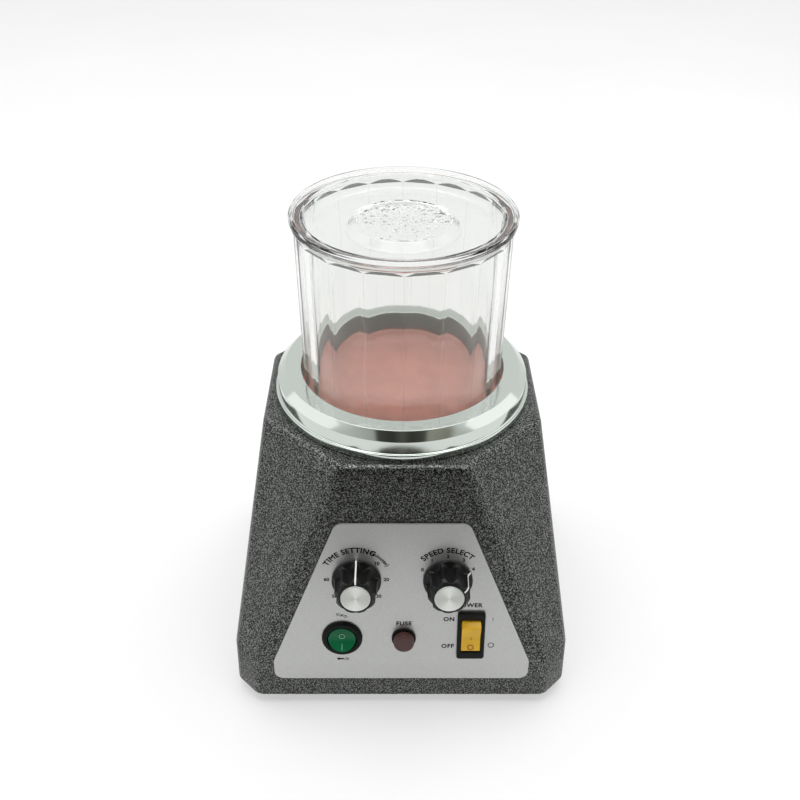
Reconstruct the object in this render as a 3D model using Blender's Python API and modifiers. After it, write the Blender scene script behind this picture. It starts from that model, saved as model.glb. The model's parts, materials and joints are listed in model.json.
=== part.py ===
"""Bench magnetic tumbler: a folded steel housing with an octagonal top, a polished collar
round a drive plate, a lift-out clear bowl with a plug lid, and a sloped control panel.

Metres, +Z up, the front towards -Y. Heights in the functions are above the bottom edge of
the housing. The turntable axis carries every piece, raised by the height of the feet.
"""

import math

import bmesh
import bpy
from mathutils import Vector

# Housing
FOOT_HEIGHT = 0.008
BASE_HALF, BASE_CUT = 0.100, 0.0138
SKIRT_HALF, SKIRT_CUT, SKIRT_Z = 0.0995, 0.0148, 0.0284
TOP_HALF, TOP_CUT, TOP_Z = 0.079, 0.0449, 0.1586
SHEET = 0.0015
FOLD_RADIUS = 0.003
TOP_HOLE_R = 0.054
GAP = 0.0003

# The sloped faces: their lean from the vertical
LEAN = math.atan2(SKIRT_HALF - TOP_HALF, TOP_Z - SKIRT_Z)

# Collar, drive plate, bowl and lid
RING_LIP_R, RING_WALL_R, RING_TOP_R, RING_BORE_R = 0.0743, 0.0728, 0.0683, 0.0592
RING_LIP_Z, RING_WALL_Z, RING_TOP_Z = 0.163, 0.1708, 0.1752
PLATE_R, PLATE_THICK = 0.063, 0.002
PLATE_TOP_Z = TOP_Z + GAP + PLATE_THICK
BOWL_FACETS = 18
BOWL_BOTTOM_Z = PLATE_TOP_Z + GAP
BOWL_FACET_TOP_Z, BOWL_FLANGE_Z, BOWL_RIM_Z = 0.2646, 0.2662, 0.2677
BOWL_LOW_R, BOWL_HIGH_R, BOWL_COLLAR_R, BOWL_FLANGE_R = 0.0576, 0.0596, 0.0599, 0.0610
BOWL_FLOOR, CAVITY_LOW_R, CAVITY_HIGH_R, CAVITY_CORNER_R = 0.004, 0.0540, 0.0556, 0.0025
LID_R, LID_TOP_Z, LID_FLOOR_Z = 0.0615, 0.2710, 0.2612

# Control panel: u runs across, v up the sloped face from the crease of the skirt
PANEL_THICK = 0.001
PANEL_FACE = GAP + PANEL_THICK
PANEL_TOP_HALF, PANEL_TOP_V = 0.037, 0.0974
PANEL_SIDE_HALF, PANEL_SIDE_V, PANEL_DROP = 0.075, 0.002, 0.0125
PANEL_CORNER_R = 0.0055
KNOB_U, KNOB_V = 0.0257, 0.060
KNOB_R, KNOB_HEIGHT, KNOB_LIFT = 0.014, 0.0166, 0.0005
KNOB_CAP_R, KNOB_CAP_THICK, KNOB_FLUTES = 0.0083, 0.001, 9
SPEED_REST = math.radians(-63)
SHAFT_R, BUSH_R = 0.003, 0.0047
DIRECTION_U, DIRECTION_V, DIRECTION_R, DIRECTION_HOLE_R = -0.0345, 0.0193, 0.01175, 0.0103
FUSE_U, FUSE_V, FUSE_HOLE_R = 0.0012, 0.0192, 0.0066
POWER_U, POWER_V, POWER_WIDTH, POWER_LENGTH = 0.040, 0.0215, 0.016, 0.033
POWER_HOLE = (0.0146, 0.0296)
ROCK = math.radians(10)

# Drive
MAGNETS, MAGNET_R, MAGNET_RING_R = 6, 0.009, 0.036
DISC_R, DISC_LOW_Z, DISC_TOP_Z = 0.052, 0.149, 0.1565
AXLE_R, AXLE_LOW_Z, AXLE_TOP_Z = 0.004, 0.045, 0.155
MOTOR_R, MOTOR_LOW_Z, MOTOR_TOP_Z = 0.040, 0.060, 0.128
BEARING_R = 0.008
BRACKET_LOW_Z, BRACKET_THICK, BRACKET_HALF, STANDOFF_AT = 0.1333, 0.0025, 0.054, 0.046

# Underside and rear
FLOOR_Z, FOOT_AT, FOOT_R = 0.001, 0.076, 0.011
INLET_V, INLET_WIDTH, INLET_HEIGHT, INLET_HOLE = 0.030, 0.031, 0.024, (0.0272, 0.0202)

# The knob caps reach furthest forward; the origin is midway between them and the back
KNOB_FRONT = KNOB_LIFT + PANEL_FACE + KNOB_HEIGHT + GAP
FRONT_REACH = (
    SKIRT_HALF
    - KNOB_V * math.sin(LEAN)
    + KNOB_FRONT * math.cos(LEAN)
    + KNOB_CAP_R * math.sin(LEAN)
)
AXIS_Y = (FRONT_REACH - BASE_HALF) / 2


def clear_scene():
    for obj in list(bpy.data.objects):
        bpy.data.objects.remove(obj, do_unlink=True)


def collection(name):
    made = bpy.data.collections.new(name)
    bpy.context.scene.collection.children.link(made)
    return made


def material(name, colour, roughness, metallic=0.0):
    made = bpy.data.materials.new(name)
    made.use_nodes = True
    surface = made.node_tree.nodes["Principled BSDF"]
    surface.inputs["Base Color"].default_value = (*colour, 1)
    surface.inputs["Roughness"].default_value = roughness
    surface.inputs["Metallic"].default_value = metallic
    return made


def frame(name, place, parent=None, rotation=(0, 0, 0)):
    """An empty that carries pieces: a datum, a panel position or a joint's axis."""
    empty = bpy.data.objects.new(name, None)
    bpy.context.scene.collection.objects.link(empty)
    empty.parent = parent
    empty.location = place
    empty.rotation_euler = rotation
    return empty


def mesh_object(name, bm, parent, finish=None):
    """The finished bmesh as a node, or as a hidden cutter where it has no finish."""
    mesh = bpy.data.meshes.new(name)
    bm.to_mesh(mesh)
    bm.free()
    obj = bpy.data.objects.new(name, mesh)
    obj.parent = parent
    if finish:
        mesh.materials.append(finish)
        PIECES.objects.link(obj)
    else:
        CUTTERS.objects.link(obj)
        obj.hide_render = True
        obj.display_type = "WIRE"
    return obj


def box(name, low, high, parent, finish=None, edge=0.0):
    bm = bmesh.new()
    bmesh.ops.create_cube(bm, size=1)
    low, high = Vector(low), Vector(high)
    bmesh.ops.scale(bm, vec=high - low, verts=bm.verts)
    bmesh.ops.translate(bm, vec=(low + high) / 2, verts=bm.verts)
    obj = mesh_object(name, bm, parent, finish)
    if edge:
        round_edges(obj, edge)
    return obj


def cylinder(name, radius, low, high, parent, finish=None, centre=(0, 0), sides=32, top=None):
    """A cylinder along Z, or a cone where top gives the upper radius."""
    bm = bmesh.new()
    bmesh.ops.create_cone(
        bm,
        cap_ends=True,
        segments=sides,
        radius1=radius,
        radius2=radius if top is None else top,
        depth=high - low,
    )
    bmesh.ops.translate(bm, vec=(*centre, (low + high) / 2), verts=bm.verts)
    obj = mesh_object(name, bm, parent, finish)
    smooth(obj)
    return obj


def turned(name, profile, parent, finish=None, steps=32, ring=False):
    """A profile of (radius, height), down its outer side, turned about Z. A ring's closes on itself."""
    bm = bmesh.new()
    points = [bm.verts.new((radius, 0, height)) for radius, height in profile]
    for start, end in zip(points, points[1:] + points[:1] if ring else points[1:]):
        bm.edges.new((start, end))
    obj = mesh_object(name, bm, parent, finish)
    screw = obj.modifiers.new("turn", "SCREW")
    screw.steps = steps
    screw.render_steps = steps
    screw.use_merge_vertices = True
    screw.merge_threshold = 0.00001
    screw.use_smooth_shade = False
    return obj


def plate(name, outline, low, high, parent, finish=None):
    """A flat outline of (x, y) points, filled and given its thickness, as a mesh."""
    curve = bpy.data.curves.new(name, "CURVE")
    curve.dimensions = "2D"
    curve.fill_mode = "BOTH"
    curve.extrude = (high - low) / 2
    spline = curve.splines.new("POLY")
    spline.points.add(len(outline) - 1)
    for point, (x, y) in zip(spline.points, outline):
        point.co = (x, y, 0, 1)
    spline.use_cyclic_u = True
    drawn = bpy.data.objects.new(name + "_outline", curve)
    bpy.context.scene.collection.objects.link(drawn)
    bpy.context.view_layer.update()
    graph = bpy.context.evaluated_depsgraph_get()
    mesh = bpy.data.meshes.new_from_object(drawn.evaluated_get(graph))
    bm = bmesh.new()
    bm.from_mesh(mesh)
    bpy.data.objects.remove(drawn)
    bpy.data.meshes.remove(mesh)
    bmesh.ops.remove_doubles(bm, verts=bm.verts, dist=0.00001)
    bmesh.ops.recalc_face_normals(bm, faces=bm.faces)
    bmesh.ops.translate(bm, vec=(0, 0, (low + high) / 2), verts=bm.verts)
    return mesh_object(name, bm, parent, finish)


def smooth(obj, angle=35):
    obj.data.shade_smooth()
    obj.data.set_sharp_from_angle(angle=math.radians(angle))


def round_edges(obj, width, segments=2, angle=30):
    bevel = obj.modifiers.new("rounded", "BEVEL")
    bevel.width = width
    bevel.segments = segments
    bevel.limit_method = "ANGLE"
    bevel.angle_limit = math.radians(angle)
    return bevel


def combine(obj, other, operation="DIFFERENCE"):
    """A Boolean with one object, or with each object of a list."""
    for piece in other if isinstance(other, list) else [other]:
        step = obj.modifiers.new(piece.name, "BOOLEAN")
        step.operation = operation
        step.solver = "EXACT"
        step.object = piece


def arc(centre, radius, start, end, steps):
    """Points of an arc about centre, its angles in degrees."""
    return [
        (
            centre[0] + radius * math.cos(math.radians(start + (end - start) * i / steps)),
            centre[1] + radius * math.sin(math.radians(start + (end - start) * i / steps)),
        )
        for i in range(steps + 1)
    ]


def rounded_outline(corners, radius, steps=4):
    """The outline of a convex polygon, anticlockwise, with every corner rounded."""
    outline = []
    count = len(corners)
    for i, corner in enumerate(corners):
        corner = Vector(corner)
        before = (Vector(corners[i - 1]) - corner).normalized()
        after = (Vector(corners[(i + 1) % count]) - corner).normalized()
        half = before.angle(after) / 2
        centre = corner + (before + after).normalized() * radius / math.sin(half)
        start = centre + before.orthogonal() * radius
        begin = math.degrees(math.atan2(*reversed(start - centre)))
        outline += arc(centre, radius, begin, begin + 180 - math.degrees(2 * half), steps)
    return outline


def rectangle(width, height):
    x, y = width / 2, height / 2
    return [(-x, -y), (x, -y), (x, y), (-x, y)]


def cut_corner_square(half, cut):
    """A square with cut corners, anticlockwise."""
    near = half - cut
    flat = [(half, -near), (half, near), (near, half), (-near, half)]
    return flat + [(-x, -y) for x, y in flat]


# ---- housing and panel


def make_housing(axis, openings):
    """A folded shell: upright skirt, sloped faces and a flat top, bevelled on its folds only."""
    levels = (
        (BASE_HALF, BASE_CUT, 0),
        (SKIRT_HALF, SKIRT_CUT, SKIRT_Z),
        (TOP_HALF, TOP_CUT, TOP_Z),
    )
    bm = bmesh.new()
    folded = bm.edges.layers.float.new("bevel_weight_edge")
    rings = [
        [bm.verts.new((x, y, z)) for x, y in cut_corner_square(half, cut)]
        for half, cut, z in levels
    ]
    for low, high in zip(rings, rings[1:]):
        for i in range(len(low)):
            j = (i + 1) % len(low)
            bm.faces.new((low[i], low[j], high[j], high[i]))
    bm.faces.new(rings[-1])
    for edge in bm.edges:
        heights = [vert.co.z for vert in edge.verts]
        edge[folded] = float(heights[0] != heights[1] or min(heights) == TOP_Z)
    obj = mesh_object("housing", bm, axis, material("hammertone", (0.2, 0.21, 0.2), 0.4, 0.3))
    bevel = round_edges(obj, FOLD_RADIUS, segments=3)
    bevel.limit_method = "WEIGHT"
    shell = obj.modifiers.new("sheet", "SOLIDIFY")
    shell.thickness = SHEET
    shell.offset = -1
    shell.use_even_offset = True
    combine(obj, openings)
    return obj


def make_control_panel(axis, openings):
    """Sheet folded along the crease of the skirt and trimmed to its outline."""
    lift = GAP / math.cos(LEAN)
    skirt_run = (BASE_HALF - SKIRT_HALF) / SKIRT_Z
    margin = 0.005
    low_z = SKIRT_Z - PANEL_DROP - margin
    high_v = PANEL_TOP_V + margin
    folds = [
        (-SKIRT_HALF - (SKIRT_Z - low_z) * skirt_run - lift, low_z),
        (-SKIRT_HALF - lift, SKIRT_Z),
        (-SKIRT_HALF + high_v * math.sin(LEAN) - lift, SKIRT_Z + high_v * math.cos(LEAN)),
    ]
    bm = bmesh.new()
    reach = PANEL_SIDE_HALF + margin
    rows = [[bm.verts.new((x, y, z)) for x in (-reach, reach)] for y, z in folds]
    for low, high in zip(rows, rows[1:]):
        bm.faces.new((low[0], low[1], high[1], high[0]))
    finish = material("panel_silver", (0.42, 0.43, 0.43), 0.4, 0.5)
    obj = mesh_object("control_panel", bm, axis, finish)
    sheet = obj.modifiers.new("sheet", "SOLIDIFY")
    sheet.thickness = PANEL_THICK
    sheet.offset = 1
    sheet.use_even_offset = True
    rise = math.cos(LEAN)
    corners = [
        (-PANEL_SIDE_HALF, SKIRT_Z - PANEL_DROP),
        (PANEL_SIDE_HALF, SKIRT_Z - PANEL_DROP),
        (PANEL_SIDE_HALF, SKIRT_Z + PANEL_SIDE_V * rise),
        (PANEL_TOP_HALF, SKIRT_Z + PANEL_TOP_V * rise),
        (-PANEL_TOP_HALF, SKIRT_Z + PANEL_TOP_V * rise),
        (-PANEL_SIDE_HALF, SKIRT_Z + PANEL_SIDE_V * rise),
    ]
    outline = rounded_outline(corners, PANEL_CORNER_R)
    upright = frame("panel_outline_frame", (0, -SKIRT_HALF, 0), axis, (math.pi / 2, 0, 0))
    trim = plate("panel_outline", outline, -0.03, 0.03, upright)
    combine(obj, trim, "INTERSECT")
    combine(obj, openings)
    return obj


def panel_openings(panel):
    """Cutters for what passes through the panel and the housing behind it."""
    depth = 0.012
    holes = []
    for name, u in (("time", -KNOB_U), ("speed", KNOB_U)):
        place = frame(name + "_bush_hole_frame", (u, KNOB_V, 0), panel)
        holes.append(cylinder(name + "_bush_hole", BUSH_R + GAP, -depth, depth, place))
    place = frame("direction_hole_frame", (DIRECTION_U, DIRECTION_V, 0), panel)
    holes.append(cylinder("direction_hole", DIRECTION_HOLE_R, -depth, depth, place))
    place = frame("fuse_hole_frame", (FUSE_U, FUSE_V, 0), panel)
    holes.append(cylinder("fuse_hole", FUSE_HOLE_R, -depth, depth, place))
    place = frame("power_hole_frame", (POWER_U, POWER_V, 0), panel)
    slot = rounded_outline(rectangle(*POWER_HOLE), 0.001, 2)
    holes.append(plate("power_hole", slot, -depth, depth, place))
    return holes


# ---- collar, drive plate, bowl and lid


def make_ring(axis):
    profile = [
        (RING_BORE_R, RING_TOP_Z),
        (RING_TOP_R, RING_TOP_Z),
        (RING_WALL_R, RING_WALL_Z),
        (RING_WALL_R, RING_LIP_Z),
        (RING_LIP_R - 0.0006, RING_LIP_Z),
        (RING_LIP_R, RING_LIP_Z - 0.0006),
        (RING_LIP_R, TOP_Z + GAP),
        (PLATE_R + GAP, TOP_Z + GAP),
        (PLATE_R + GAP, PLATE_TOP_Z + GAP),
        (RING_BORE_R, PLATE_TOP_Z + GAP),
    ]
    finish = material("polished_aluminium", (0.8, 0.81, 0.8), 0.12, 1.0)
    turned("bowl_ring", profile, axis, finish, steps=48, ring=True)


def make_platform(axis):
    finish = material("salmon_plastic", (0.6, 0.24, 0.19), 0.45)
    cylinder("bowl_platform", PLATE_R, TOP_Z + GAP, PLATE_TOP_Z, axis, finish, sides=48)


def make_bowl(parent):
    """A turned blank whose wall is cut to flat facets below the round collar."""
    cavity_floor = BOWL_BOTTOM_Z + BOWL_FLOOR
    corner = (CAVITY_LOW_R - CAVITY_CORNER_R, cavity_floor + CAVITY_CORNER_R)
    inside = arc(corner, CAVITY_CORNER_R, 0, -90, 3)
    profile = [
        (CAVITY_HIGH_R, BOWL_RIM_Z),
        (BOWL_FLANGE_R - 0.0004, BOWL_RIM_Z),
        (BOWL_FLANGE_R, BOWL_RIM_Z - 0.0004),
        (BOWL_FLANGE_R, BOWL_FLANGE_Z),
        (BOWL_COLLAR_R, BOWL_FLANGE_Z),
        (BOWL_COLLAR_R, BOWL_BOTTOM_Z + 0.001),
        (BOWL_LOW_R - 0.001, BOWL_BOTTOM_Z),
        (0, BOWL_BOTTOM_Z),
    ]
    inner = [(0, cavity_floor), *reversed(inside)]
    finish = material("clear_acrylic", (0.9, 0.92, 0.92), 0.08)
    obj = turned("bowl", [*inner, *profile], parent, finish, steps=3 * BOWL_FACETS)
    waste = cylinder("bowl_waste", 0.066, BOWL_BOTTOM_Z - 0.002, BOWL_FACET_TOP_Z, parent, sides=36)
    spread = (BOWL_HIGH_R - BOWL_LOW_R) / (BOWL_FACET_TOP_Z - BOWL_BOTTOM_Z)
    past = 0.005
    core = cylinder(
        "bowl_facets",
        BOWL_LOW_R - spread * past,
        BOWL_BOTTOM_Z - past,
        BOWL_FACET_TOP_Z + past,
        parent,
        sides=BOWL_FACETS,
        top=BOWL_HIGH_R + spread * past,
    )
    combine(waste, core)
    combine(obj, waste)
    return obj


def make_lid(parent):
    """A dished plug lid: a flange on the rim, a sunk floor and a raised boss at its centre."""
    wall = 0.0018
    top = [
        (0, LID_FLOOR_Z + 0.0045),
        (0.0262, LID_FLOOR_Z + 0.0045),
        (0.0312, LID_FLOOR_Z),
        (0.0500, LID_FLOOR_Z),
        *arc((0.0500, LID_FLOOR_Z + 0.0030), 0.0030, -90, -8, 3)[1:],
        (0.0542, LID_TOP_Z - 0.0015),
        (0.0585, LID_TOP_Z - 0.0015),
        (0.0591, LID_TOP_Z),
        (LID_R - 0.0008, LID_TOP_Z),
        (LID_R, LID_TOP_Z - 0.0008),
        (LID_R, BOWL_RIM_Z + GAP + 0.0004),
        (LID_R - 0.0004, BOWL_RIM_Z + GAP),
        (CAVITY_HIGH_R - GAP, BOWL_RIM_Z + GAP),
        (0.0547, LID_FLOOR_Z + 0.0028),
        *arc((0.0501, LID_FLOOR_Z + 0.0028), 0.0046, 0, -90, 3)[1:],
        (0.0298, LID_FLOOR_Z - wall),
        (0.0250, LID_FLOOR_Z + 0.0045 - wall),
        (0, LID_FLOOR_Z + 0.0045 - wall),
    ]
    finish = material("clear_acrylic_lid", (0.9, 0.92, 0.92), 0.08)
    return turned("lid", top, parent, finish, steps=40)


# ---- knobs, switches and fuse


def make_knob(name, parent, plastic, metal):
    """A skirted knob with scalloped sides, hollow below over its bush nut, and a spun cap.

    A lobe stands at +Y, where the pointer line runs.
    """
    low = PANEL_FACE + KNOB_LIFT
    top = low + KNOB_HEIGHT
    seat = top - KNOB_CAP_THICK + GAP
    profile = [
        (0, seat - GAP),
        (KNOB_CAP_R + GAP, seat - GAP),
        (KNOB_CAP_R + GAP, top - 0.0001),
        (0.0092, top),
        (0.0106, top - 0.0010),
        (0.0118, top - 0.0030),
        (0.0122, low + 0.0030),
        (KNOB_R - 0.0002, low + 0.0014),
        (KNOB_R, low + 0.0009),
        (KNOB_R - 0.0004, low),
        (0.0090, low),
        (0.0090, low + 0.0045),
        (SHAFT_R + GAP, low + 0.0045),
        (SHAFT_R + GAP, low + 0.0125),
        (0, low + 0.0125),
    ]
    obj = turned(name, profile, parent, plastic, steps=36)
    flute_r, flute_at, flute_low = 0.0032, 0.0142, low + 0.0022
    flutes = bmesh.new()
    for i in range(KNOB_FLUTES):
        turn = 2 * math.pi * (i + 0.5) / KNOB_FLUTES + math.pi / 2
        made = bmesh.ops.create_cone(
            flutes, cap_ends=True, segments=10, radius1=flute_r, radius2=flute_r, depth=0.020
        )
        place = (flute_at * math.cos(turn), flute_at * math.sin(turn), flute_low + 0.010)
        bmesh.ops.translate(flutes, vec=place, verts=made["verts"])
    combine(obj, mesh_object(name + "_flutes", flutes, parent))
    cap = [
        (0, top + GAP),
        (KNOB_CAP_R - 0.0003, top + GAP),
        (KNOB_CAP_R, top),
        (KNOB_CAP_R, seat),
        (0, seat),
    ]
    turned(name + "_cap", cap, parent, metal, steps=36)


def make_bushed_body(name, blank, parent):
    """A control's case behind the panel, with its bush through the hole and a bore for the shaft."""
    bush = cylinder(name + "_bush", BUSH_R, -SHEET - 0.004, 0.0052, parent)
    combine(blank, bush, "UNION")
    bore = cylinder(name + "_bore", SHAFT_R + GAP, -0.0095, 0.010, parent)
    combine(blank, bore)


def make_controls(panel):
    """Two knobs on their shafts, a timer behind one and a speed selector behind the other."""
    black = material("knob_phenolic", (0.01, 0.01, 0.011), 0.25)
    spun = material("spun_aluminium", (0.75, 0.75, 0.74), 0.25, 1.0)
    steel = material("bright_steel", (0.55, 0.55, 0.54), 0.3, 1.0)
    case = material("control_case", (0.05, 0.05, 0.06), 0.5)
    back = -SHEET - GAP
    for name, u, rest in (("time", -KNOB_U, 0), ("speed", KNOB_U, SPEED_REST)):
        seat = frame(name + "_control", (u, KNOB_V, 0), panel)
        joint = frame(name + "_axis", (0, 0, 0), seat, (0, 0, rest))
        make_knob(name + "_knob", joint, black, spun)
        control = "timer" if name == "time" else "speed_switch"
        if name == "time":
            low, high = (-0.022, -0.022, back - 0.032), (0.022, 0.022, back)
            body = box("timer_body", low, high, seat, case)
        else:
            body = cylinder("speed_switch_body", 0.015, back - 0.020, back, seat, case, sides=24)
        make_bushed_body(control, body, seat)
        reach = PANEL_FACE + KNOB_LIFT + 0.0122
        cylinder(control + "_shaft", SHAFT_R, -0.0092, reach, joint, steel, sides=24)
        low = PANEL_FACE + GAP
        nut = cylinder(control + "_nut", 0.0071, low, low + 0.002, seat, steel, sides=6)
        combine(nut, cylinder(control + "_nut_bore", BUSH_R + GAP, 0, 0.006, seat, sides=24))


def rocker_blank(name, length, width, crown, dip, depth, parent, finish):
    """A rocker's prism along X: a top that rises to both ends, about a pivot at the origin."""
    half = length / 2
    side = [(-half, -depth), (half, -depth), (half, crown), (0, dip), (-half, crown)]
    turned_up = frame(name + "_side", (0, 0, 0), parent, (math.pi / 2, 0, math.pi / 2))
    return plate(name, side, -width / 2, width / 2, turned_up, finish)


def make_power_switch(panel):
    """A rectangular bezel with its case behind, and a yellow rocker on a cross pivot."""
    seat = frame("power_switch", (POWER_U, POWER_V, 0), panel)
    low = PANEL_FACE + GAP
    face = low + 0.0016
    pivot_z = face - 0.0045
    swing = 0.0113
    black = material("switch_nylon", (0.012, 0.012, 0.013), 0.35)
    outline = rounded_outline(rectangle(POWER_WIDTH, POWER_LENGTH), 0.0025)
    bezel = plate("power_switch_body", outline, low, face, seat, black)
    case = box("power_case", (-0.0068, -0.0143, -0.022), (0.0068, 0.0143, low + 0.0008), seat)
    combine(bezel, case, "UNION")
    hollow = (0.0058, swing + 0.0004, pivot_z - 0.0068)
    pocket = box(
        "power_pocket", (-hollow[0], -hollow[1], hollow[2]), (hollow[0], hollow[1], 0.01), seat
    )
    combine(bezel, pocket)
    joint = frame("power_rocker_axis", (0, 0, pivot_z), seat, (ROCK, 0, 0))
    yellow = material("rocker_yellow", (0.7, 0.42, 0.05), 0.3)
    rocker = rocker_blank("power_rocker", 0.024, 0.0109, 0.0066, 0.0046, 0.0039, joint, yellow)
    across = frame("power_swing_frame", (0, 0, 0), joint, (0, math.pi / 2, 0))
    combine(rocker, cylinder("power_swing", swing, -0.01, 0.01, across, sides=48), "INTERSECT")


def make_direction_switch(panel):
    """A round bezel with its barrel behind, and a green rocker on a cross pivot."""
    seat = frame("direction_switch", (DIRECTION_U, DIRECTION_V, 0), panel)
    low = PANEL_FACE + GAP
    face = low + 0.0018
    pivot_z = face - 0.002
    swing = 0.0082
    hole = swing + GAP
    floor = pivot_z - 0.0072
    dark = material("switch_bezel_green", (0.01, 0.09, 0.045), 0.3)
    profile = [
        (hole, face),
        (DIRECTION_R - 0.0012, face),
        (DIRECTION_R, low + 0.0006),
        (DIRECTION_R, low),
        (0.0099, low),
        (0.0099, -0.018),
        (0, -0.018),
    ]
    turned("direction_switch_body", [(0, floor), (hole, floor), *profile], seat, dark, steps=36)
    joint = frame("direction_rocker_axis", (0, 0, pivot_z), seat, (-ROCK, 0, 0))
    green = material("rocker_green", (0.01, 0.3, 0.13), 0.25)
    rocker = rocker_blank("direction_rocker", 0.018, 0.018, 0.0038, 0.0020, 0.0055, joint, green)
    bm = bmesh.new()
    bmesh.ops.create_uvsphere(bm, u_segments=24, v_segments=12, radius=swing)
    combine(rocker, mesh_object("direction_swing", bm, joint), "INTERSECT")


def make_fuse(panel):
    """A panel fuse holder, with the glass fuse and the quarter-turn cap that draws it out."""
    seat = frame("fuse_seat", (FUSE_U, FUSE_V, 0), panel)
    low = PANEL_FACE + GAP
    face = low + 0.001
    black = material("fuse_holder_black", (0.015, 0.014, 0.014), 0.4)
    holder = [
        (0, -0.028),
        (0.0052, -0.028),
        (0.0052, face),
        (0.0066, face),
        (0.0070, face - 0.0004),
        (0.0070, low),
        (0.0062, low),
        (0.0062, -0.030),
        (0, -0.030),
    ]
    turned("fuse_holder", holder, seat, black, steps=24)
    rests = face + GAP
    cap = [
        (0, rests + 0.0048),
        (0.0050, rests + 0.0046),
        (0.0058, rests + 0.0040),
        (0.0060, rests),
        (0.0048, rests),
        (0.0048, -0.003),
        (0, -0.003),
    ]
    brown = material("fuse_cap_brown", (0.16, 0.045, 0.04), 0.35)
    joint = frame("fuse_axis", (0, 0, 0), seat)
    turned("fuse_cap", cap, joint, brown, steps=24)
    glass = material("fuse_glass", (0.7, 0.72, 0.7), 0.1)
    cylinder("fuse", 0.0026, -0.0233, -0.0033, joint, glass, sides=20)


# ---- drive


def make_motor(axis, iron):
    grey = material("motor_grey", (0.3, 0.31, 0.32), 0.45, 0.6)
    bearing = material("bearing_steel", (0.6, 0.6, 0.6), 0.25, 1.0)
    hole = BEARING_R + GAP
    boss = hole + 0.0027
    wall = 0.002
    case = [
        (MOTOR_R - wall, MOTOR_TOP_Z),
        (MOTOR_R, MOTOR_TOP_Z),
        (MOTOR_R, MOTOR_LOW_Z),
        (hole, MOTOR_LOW_Z),
        (hole, MOTOR_LOW_Z + 0.008),
        (boss, MOTOR_LOW_Z + 0.008),
        (boss, MOTOR_LOW_Z + 0.003),
        (MOTOR_R - wall, MOTOR_LOW_Z + 0.003),
    ]
    turned("motor_case", case, axis, grey, ring=True)
    low = MOTOR_TOP_Z + GAP
    cap = [
        (hole, low + 0.0044),
        (MOTOR_R, low + 0.0044),
        (MOTOR_R, low),
        (boss, low),
        (boss, low - 0.004),
        (hole, low - 0.004),
    ]
    turned("motor_end_cap", cap, axis, grey, ring=True)
    for name, z in (("upper_bearing", low - 0.003), ("lower_bearing", MOTOR_LOW_Z + 0.001)):
        race = [
            (AXLE_R + GAP, z + 0.006),
            (BEARING_R, z + 0.006),
            (BEARING_R, z),
            (AXLE_R + GAP, z),
        ]
        turned(name, race, axis, bearing, steps=20, ring=True)
    stack = [(0.024, 0.116), (0.0377, 0.116), (0.0377, 0.072), (0.024, 0.072)]
    turned("stator_core", stack, axis, iron, ring=True)


def make_rotor(axis, iron):
    joint = frame("rotor_axis", (0, 0, 0), axis)
    steel = material("ground_steel", (0.6, 0.6, 0.59), 0.25, 1.0)
    cylinder("motor_shaft", AXLE_R, AXLE_LOW_Z, AXLE_TOP_Z, joint, steel, sides=24)
    bore = AXLE_R + GAP
    wound = [(bore, 0.118), (0.0232, 0.118), (0.0232, 0.070), (bore, 0.070)]
    turned("armature", wound, joint, iron, steps=24, ring=True)
    disc = [
        (bore, DISC_TOP_Z),
        (DISC_R - 0.001, DISC_TOP_Z),
        (DISC_R, DISC_TOP_Z - 0.001),
        (DISC_R, DISC_LOW_Z),
        (0.010, DISC_LOW_Z),
        (0.010, 0.140),
        (bore, 0.140),
    ]
    aluminium = material("disc_aluminium", (0.6, 0.61, 0.62), 0.35, 1.0)
    carrier = turned("magnet_disc", disc, joint, aluminium, steps=36, ring=True)
    nickel = material("magnet_nickel", (0.55, 0.54, 0.5), 0.25, 1.0)
    floor = DISC_TOP_Z - 0.005
    for i in range(MAGNETS):
        turn = 2 * math.pi * i / MAGNETS
        centre = (MAGNET_RING_R * math.cos(turn), MAGNET_RING_R * math.sin(turn))
        pocket = cylinder(
            f"magnet_pocket_{i + 1}", MAGNET_R + GAP, floor, 0.17, joint, centre=centre, sides=16
        )
        combine(carrier, pocket)
        name = f"magnet_{i + 1}"
        top = floor + GAP + 0.005
        cylinder(name, MAGNET_R - 0.0002, floor + GAP, top, joint, nickel, centre=centre, sides=16)
    make_fan(joint)


def make_fan(joint):
    """A hub on the shaft's lower end with pitched blades."""
    blades, hub_r, reach, low, high = 7, 0.008, 0.030, 0.047, 0.056
    nylon = material("fan_nylon", (0.05, 0.05, 0.055), 0.5)
    bore = AXLE_R + GAP
    hub = [(bore, high), (hub_r, high), (hub_r, low), (bore, low)]
    obj = turned("cooling_fan", hub, joint, nylon, steps=20, ring=True)
    for i in range(blades):
        turn = 2 * math.pi * i / blades
        place = frame(f"fan_blade_{i}_frame", (0, 0, (low + high) / 2), joint, (0, 0, turn))
        pitch = frame(f"fan_blade_{i}_pitch", (0, 0, 0), place, (math.radians(35), 0, 0))
        blade = box(f"fan_blade_{i}", (0.006, -0.005, -0.0007), (reach, 0.005, 0.0007), pitch)
        combine(obj, blade, "UNION")


def make_bracket(axis):
    zinc = material("zinc_plate", (0.55, 0.56, 0.55), 0.4, 0.9)
    outline = cut_corner_square(BRACKET_HALF, 0.006)
    high = BRACKET_LOW_Z + BRACKET_THICK
    obj = plate("motor_bracket", outline, BRACKET_LOW_Z, high, axis, zinc)
    combine(obj, cylinder("bracket_hole", 0.012, 0.12, 0.145, axis))
    top = TOP_Z - SHEET - GAP
    for i in range(4):
        x = STANDOFF_AT * (1 if i in (0, 3) else -1)
        y = STANDOFF_AT * (1 if i < 2 else -1)
        cylinder(f"standoff_{i + 1}", 0.004, high + GAP, top, axis, zinc, (x, y), sides=6)


# ---- underside, electronics and inlet


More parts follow.
